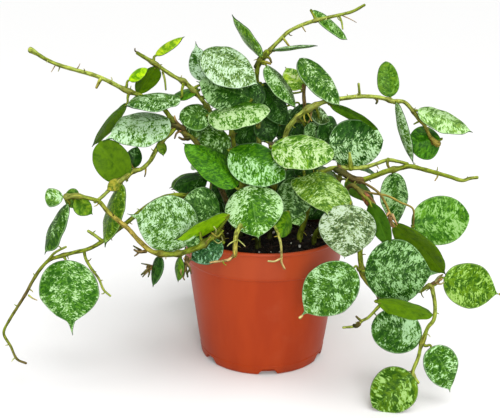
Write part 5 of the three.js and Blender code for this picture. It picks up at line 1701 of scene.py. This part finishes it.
rightInner = {
    "node": "vine_right_inner",
    "stems": [
        shoot(1.7, 1.1, "dark olive olive olive ochre", (28.5, -4, 62), (33.5, -12, 74.5), (38, -24, 81.5),
            (41.5, -30, 80), (44, -34, 75), (44, -37, 72.5), (43.5, -41, 67.5), (44, -45, 62),
            (46, -49, 57), (49, -50, 54), (52, -51, 50.5), (54, -52, 47.5)),
        shoot(0.8, 0.6, "olive lime", (53.5, -52, 48), (51.5, -52, 46), (47, -52, 40.5),  # twig
            (44.5, -52, 39), (42, -52, 36.5), (36, -52, 35.5)),
    ],
    "leaves": [
        blade((37.5, -45, 91.5), (35.5, -50, 68), 26, (0, -0.95, 0.3), "grey", point=0.04,
            fineness=1.7, share=0.6, green=(0.058, 0.095, 0.034), silver=(0.4, 0.5, 0.35)),
        blade((44.5, -52, 63), (76, -59, 65), 29, (0, -0.97, 0.25), "teal", fineness=1.6, share=0.52,
            point=0.2, green=(0.013, 0.062, 0.001), silver=(0.25, 0.43, 0.19)),
        blade((39.5, -52, 64.5), (16, -54, 41), 23.7, (-0.1, -0.97, 0.2), "mottled", widest=0.45,  # left
            point=0.16, fineness=1.6, share=0.47, silver=(0.34, 0.54, 0.28)),
        blade((50.5, -54, 49.5), (73.5, -63, 49), 20, (0, 0.74, 0.66), "mottled", under="olive",  # under
            blunt=0.7, point=0),
    ],
    "roots": [
        shoot(1.2, 1, "brown dark", (43, -52, 37.5), (42, -53, 37), (41, -52, 36.5)),
        shoot(0.7, 0.5, "olive brown", (44, -52, 39), (42.5, -53, 40.5), (41.5, -53, 41.5)),
        shoot(0.6, 0.7, "tan pale", (17, -54, 42), (16, -54, 41)),
    ],
}
crownBackLeft = {
    "node": "vine_crown_back_left",
    "stems": [
        shoot(1.4, 0.9, "dark brown olive lime", (-6, 10, 62), (-8, 13, 80), (-12, 19, 102),
            (-16, 26, 118)),
    ],
    "leaves": [
        blade((-19, 30, 117), (-34, 46, 112), 20, (-0.3, 0.4, 0.9), "mottled"),
        blade((-14, 30, 120), (-6, 52, 122), 21, (0.1, 0.1, 1), "silver"),
        blade((-17, 20, 107), (-38, 26, 107), 21, (-0.4, 0.4, 0.8), "dark"),
        blade((-11, 23, 103), (-12, 46, 104), 20, (0, 0.3, 1), "mottled"),
        blade((-17, 24, 116), (-34, 14, 124), 20, (-0.3, -0.4, 0.9), "bright"),
    ],
}
crownBackRight = {
    "node": "vine_crown_back_right",
    "stems": [
        shoot(1.4, 0.9, "dark brown olive lime", (10, 12, 62), (13, 15, 80), (18, 20, 102), (22, 24, 116)),
    ],
    "leaves": [
        blade((26, 26, 116), (42, 40, 108), 20, (0.4, 0.3, 0.9), "silver"),
        blade((20, 28, 118), (14, 48, 120), 21, (0, 0.1, 1), "mottled"),
        blade((23, 21, 106), (43, 28, 106), 19, (0.4, 0.3, 0.8), "dark"),
        blade((17, 24, 103), (18, 48, 106), 20, (0, 0.3, 1), "mottled"),
        blade((24, 20, 116), (34, 6, 120), 18, (0.3, -0.4, 0.9), "silver"),
    ],
}

# The vines behind carry leaves in pairs by a rule
pairForm = {
    "step": 0.25,
    "length": 25,
    "width": 21,
    "shrink": 0.28,
    "varySize": 0.16,
    "spread": 0.75,
    "varySpread": 0.2,
    "forward": 0.6,
    "varyForward": 0.3,
    "outward": 0.3,
    "varyOutward": 0.2,
    "tilt": 0.2,
    "petiole": 5,
    "endFree": 0.6,
    "draw": (16807, 2147483647),  # factor and modulus of the seeded draw
    "looks": ["mottled", "silver", "dark", "bright", "teal", "mottled", "yellow", "silver"],
}
backLeft = {
    "node": "vine_back_left",
    "stems": [
        shoot(1.5, 0.9, "dark brown olive lime", (-13, 16, 62), (-14, 19, 74), (-17, 30, 90), (-22, 44, 94),
            (-27, 56, 85), (-30, 63, 69), (-30, 67, 51), (-29, 69, 35)),
    ],
    "pairs": {"first": 0.42, "count": 4, "seed": 11, "tucked": {1: (-41, 62, 88)}},
}
backCentre = {
    "node": "vine_back_centre",
    "stems": [
        shoot(1.5, 0.8, "dark brown olive lime", (2, 22, 62), (3, 26, 76), (4, 40, 98), (5, 58, 98),
            (6, 75, 84), (6, 85, 62), (5, 89, 42), (3, 90, 24)),
    ],
    "pairs": {"first": 0.42, "count": 4, "seed": 41},
}
backRight = {
    "node": "vine_back_right",
    "stems": [
        shoot(1.5, 0.9, "dark brown olive lime", (18, 14, 62), (22, 18, 76), (31, 32, 96), (40, 46, 96),
            (44, 57, 84), (45, 64, 68), (44, 67, 52)),
    ],
    "pairs": {"first": 0.36, "count": 4, "seed": 37},
}
vines = [
    leftHigh, leftShort, leftTrailing, frontGolden, frontCentre, crownLeft, crownRight, crownTop,
    rightArch, rightLong, rightOuter, rightInner, crownBackLeft, crownBackRight,
    backLeft, backCentre, backRight,
]


makeCamera(camera)
makeStudio(studio)
print("stage: camera, floor and lights")
makePot(pot)
makeSoil(soil)
leafTop, leafUnder, bark = leafTopPaint(topFinish), leafUnderPaint(underFinish), stemPaint(barkFinish)
for count, vine in enumerate(vines):
    if "pairs" in vine:
        vine["leaves"] = pairedLeaves(vine, pairForm)
    makeVine(vine, count + 3, stemForm)
print("vines:", len(vines), "with", sum(len(vine["leaves"]) for vine in vines), "leaves")
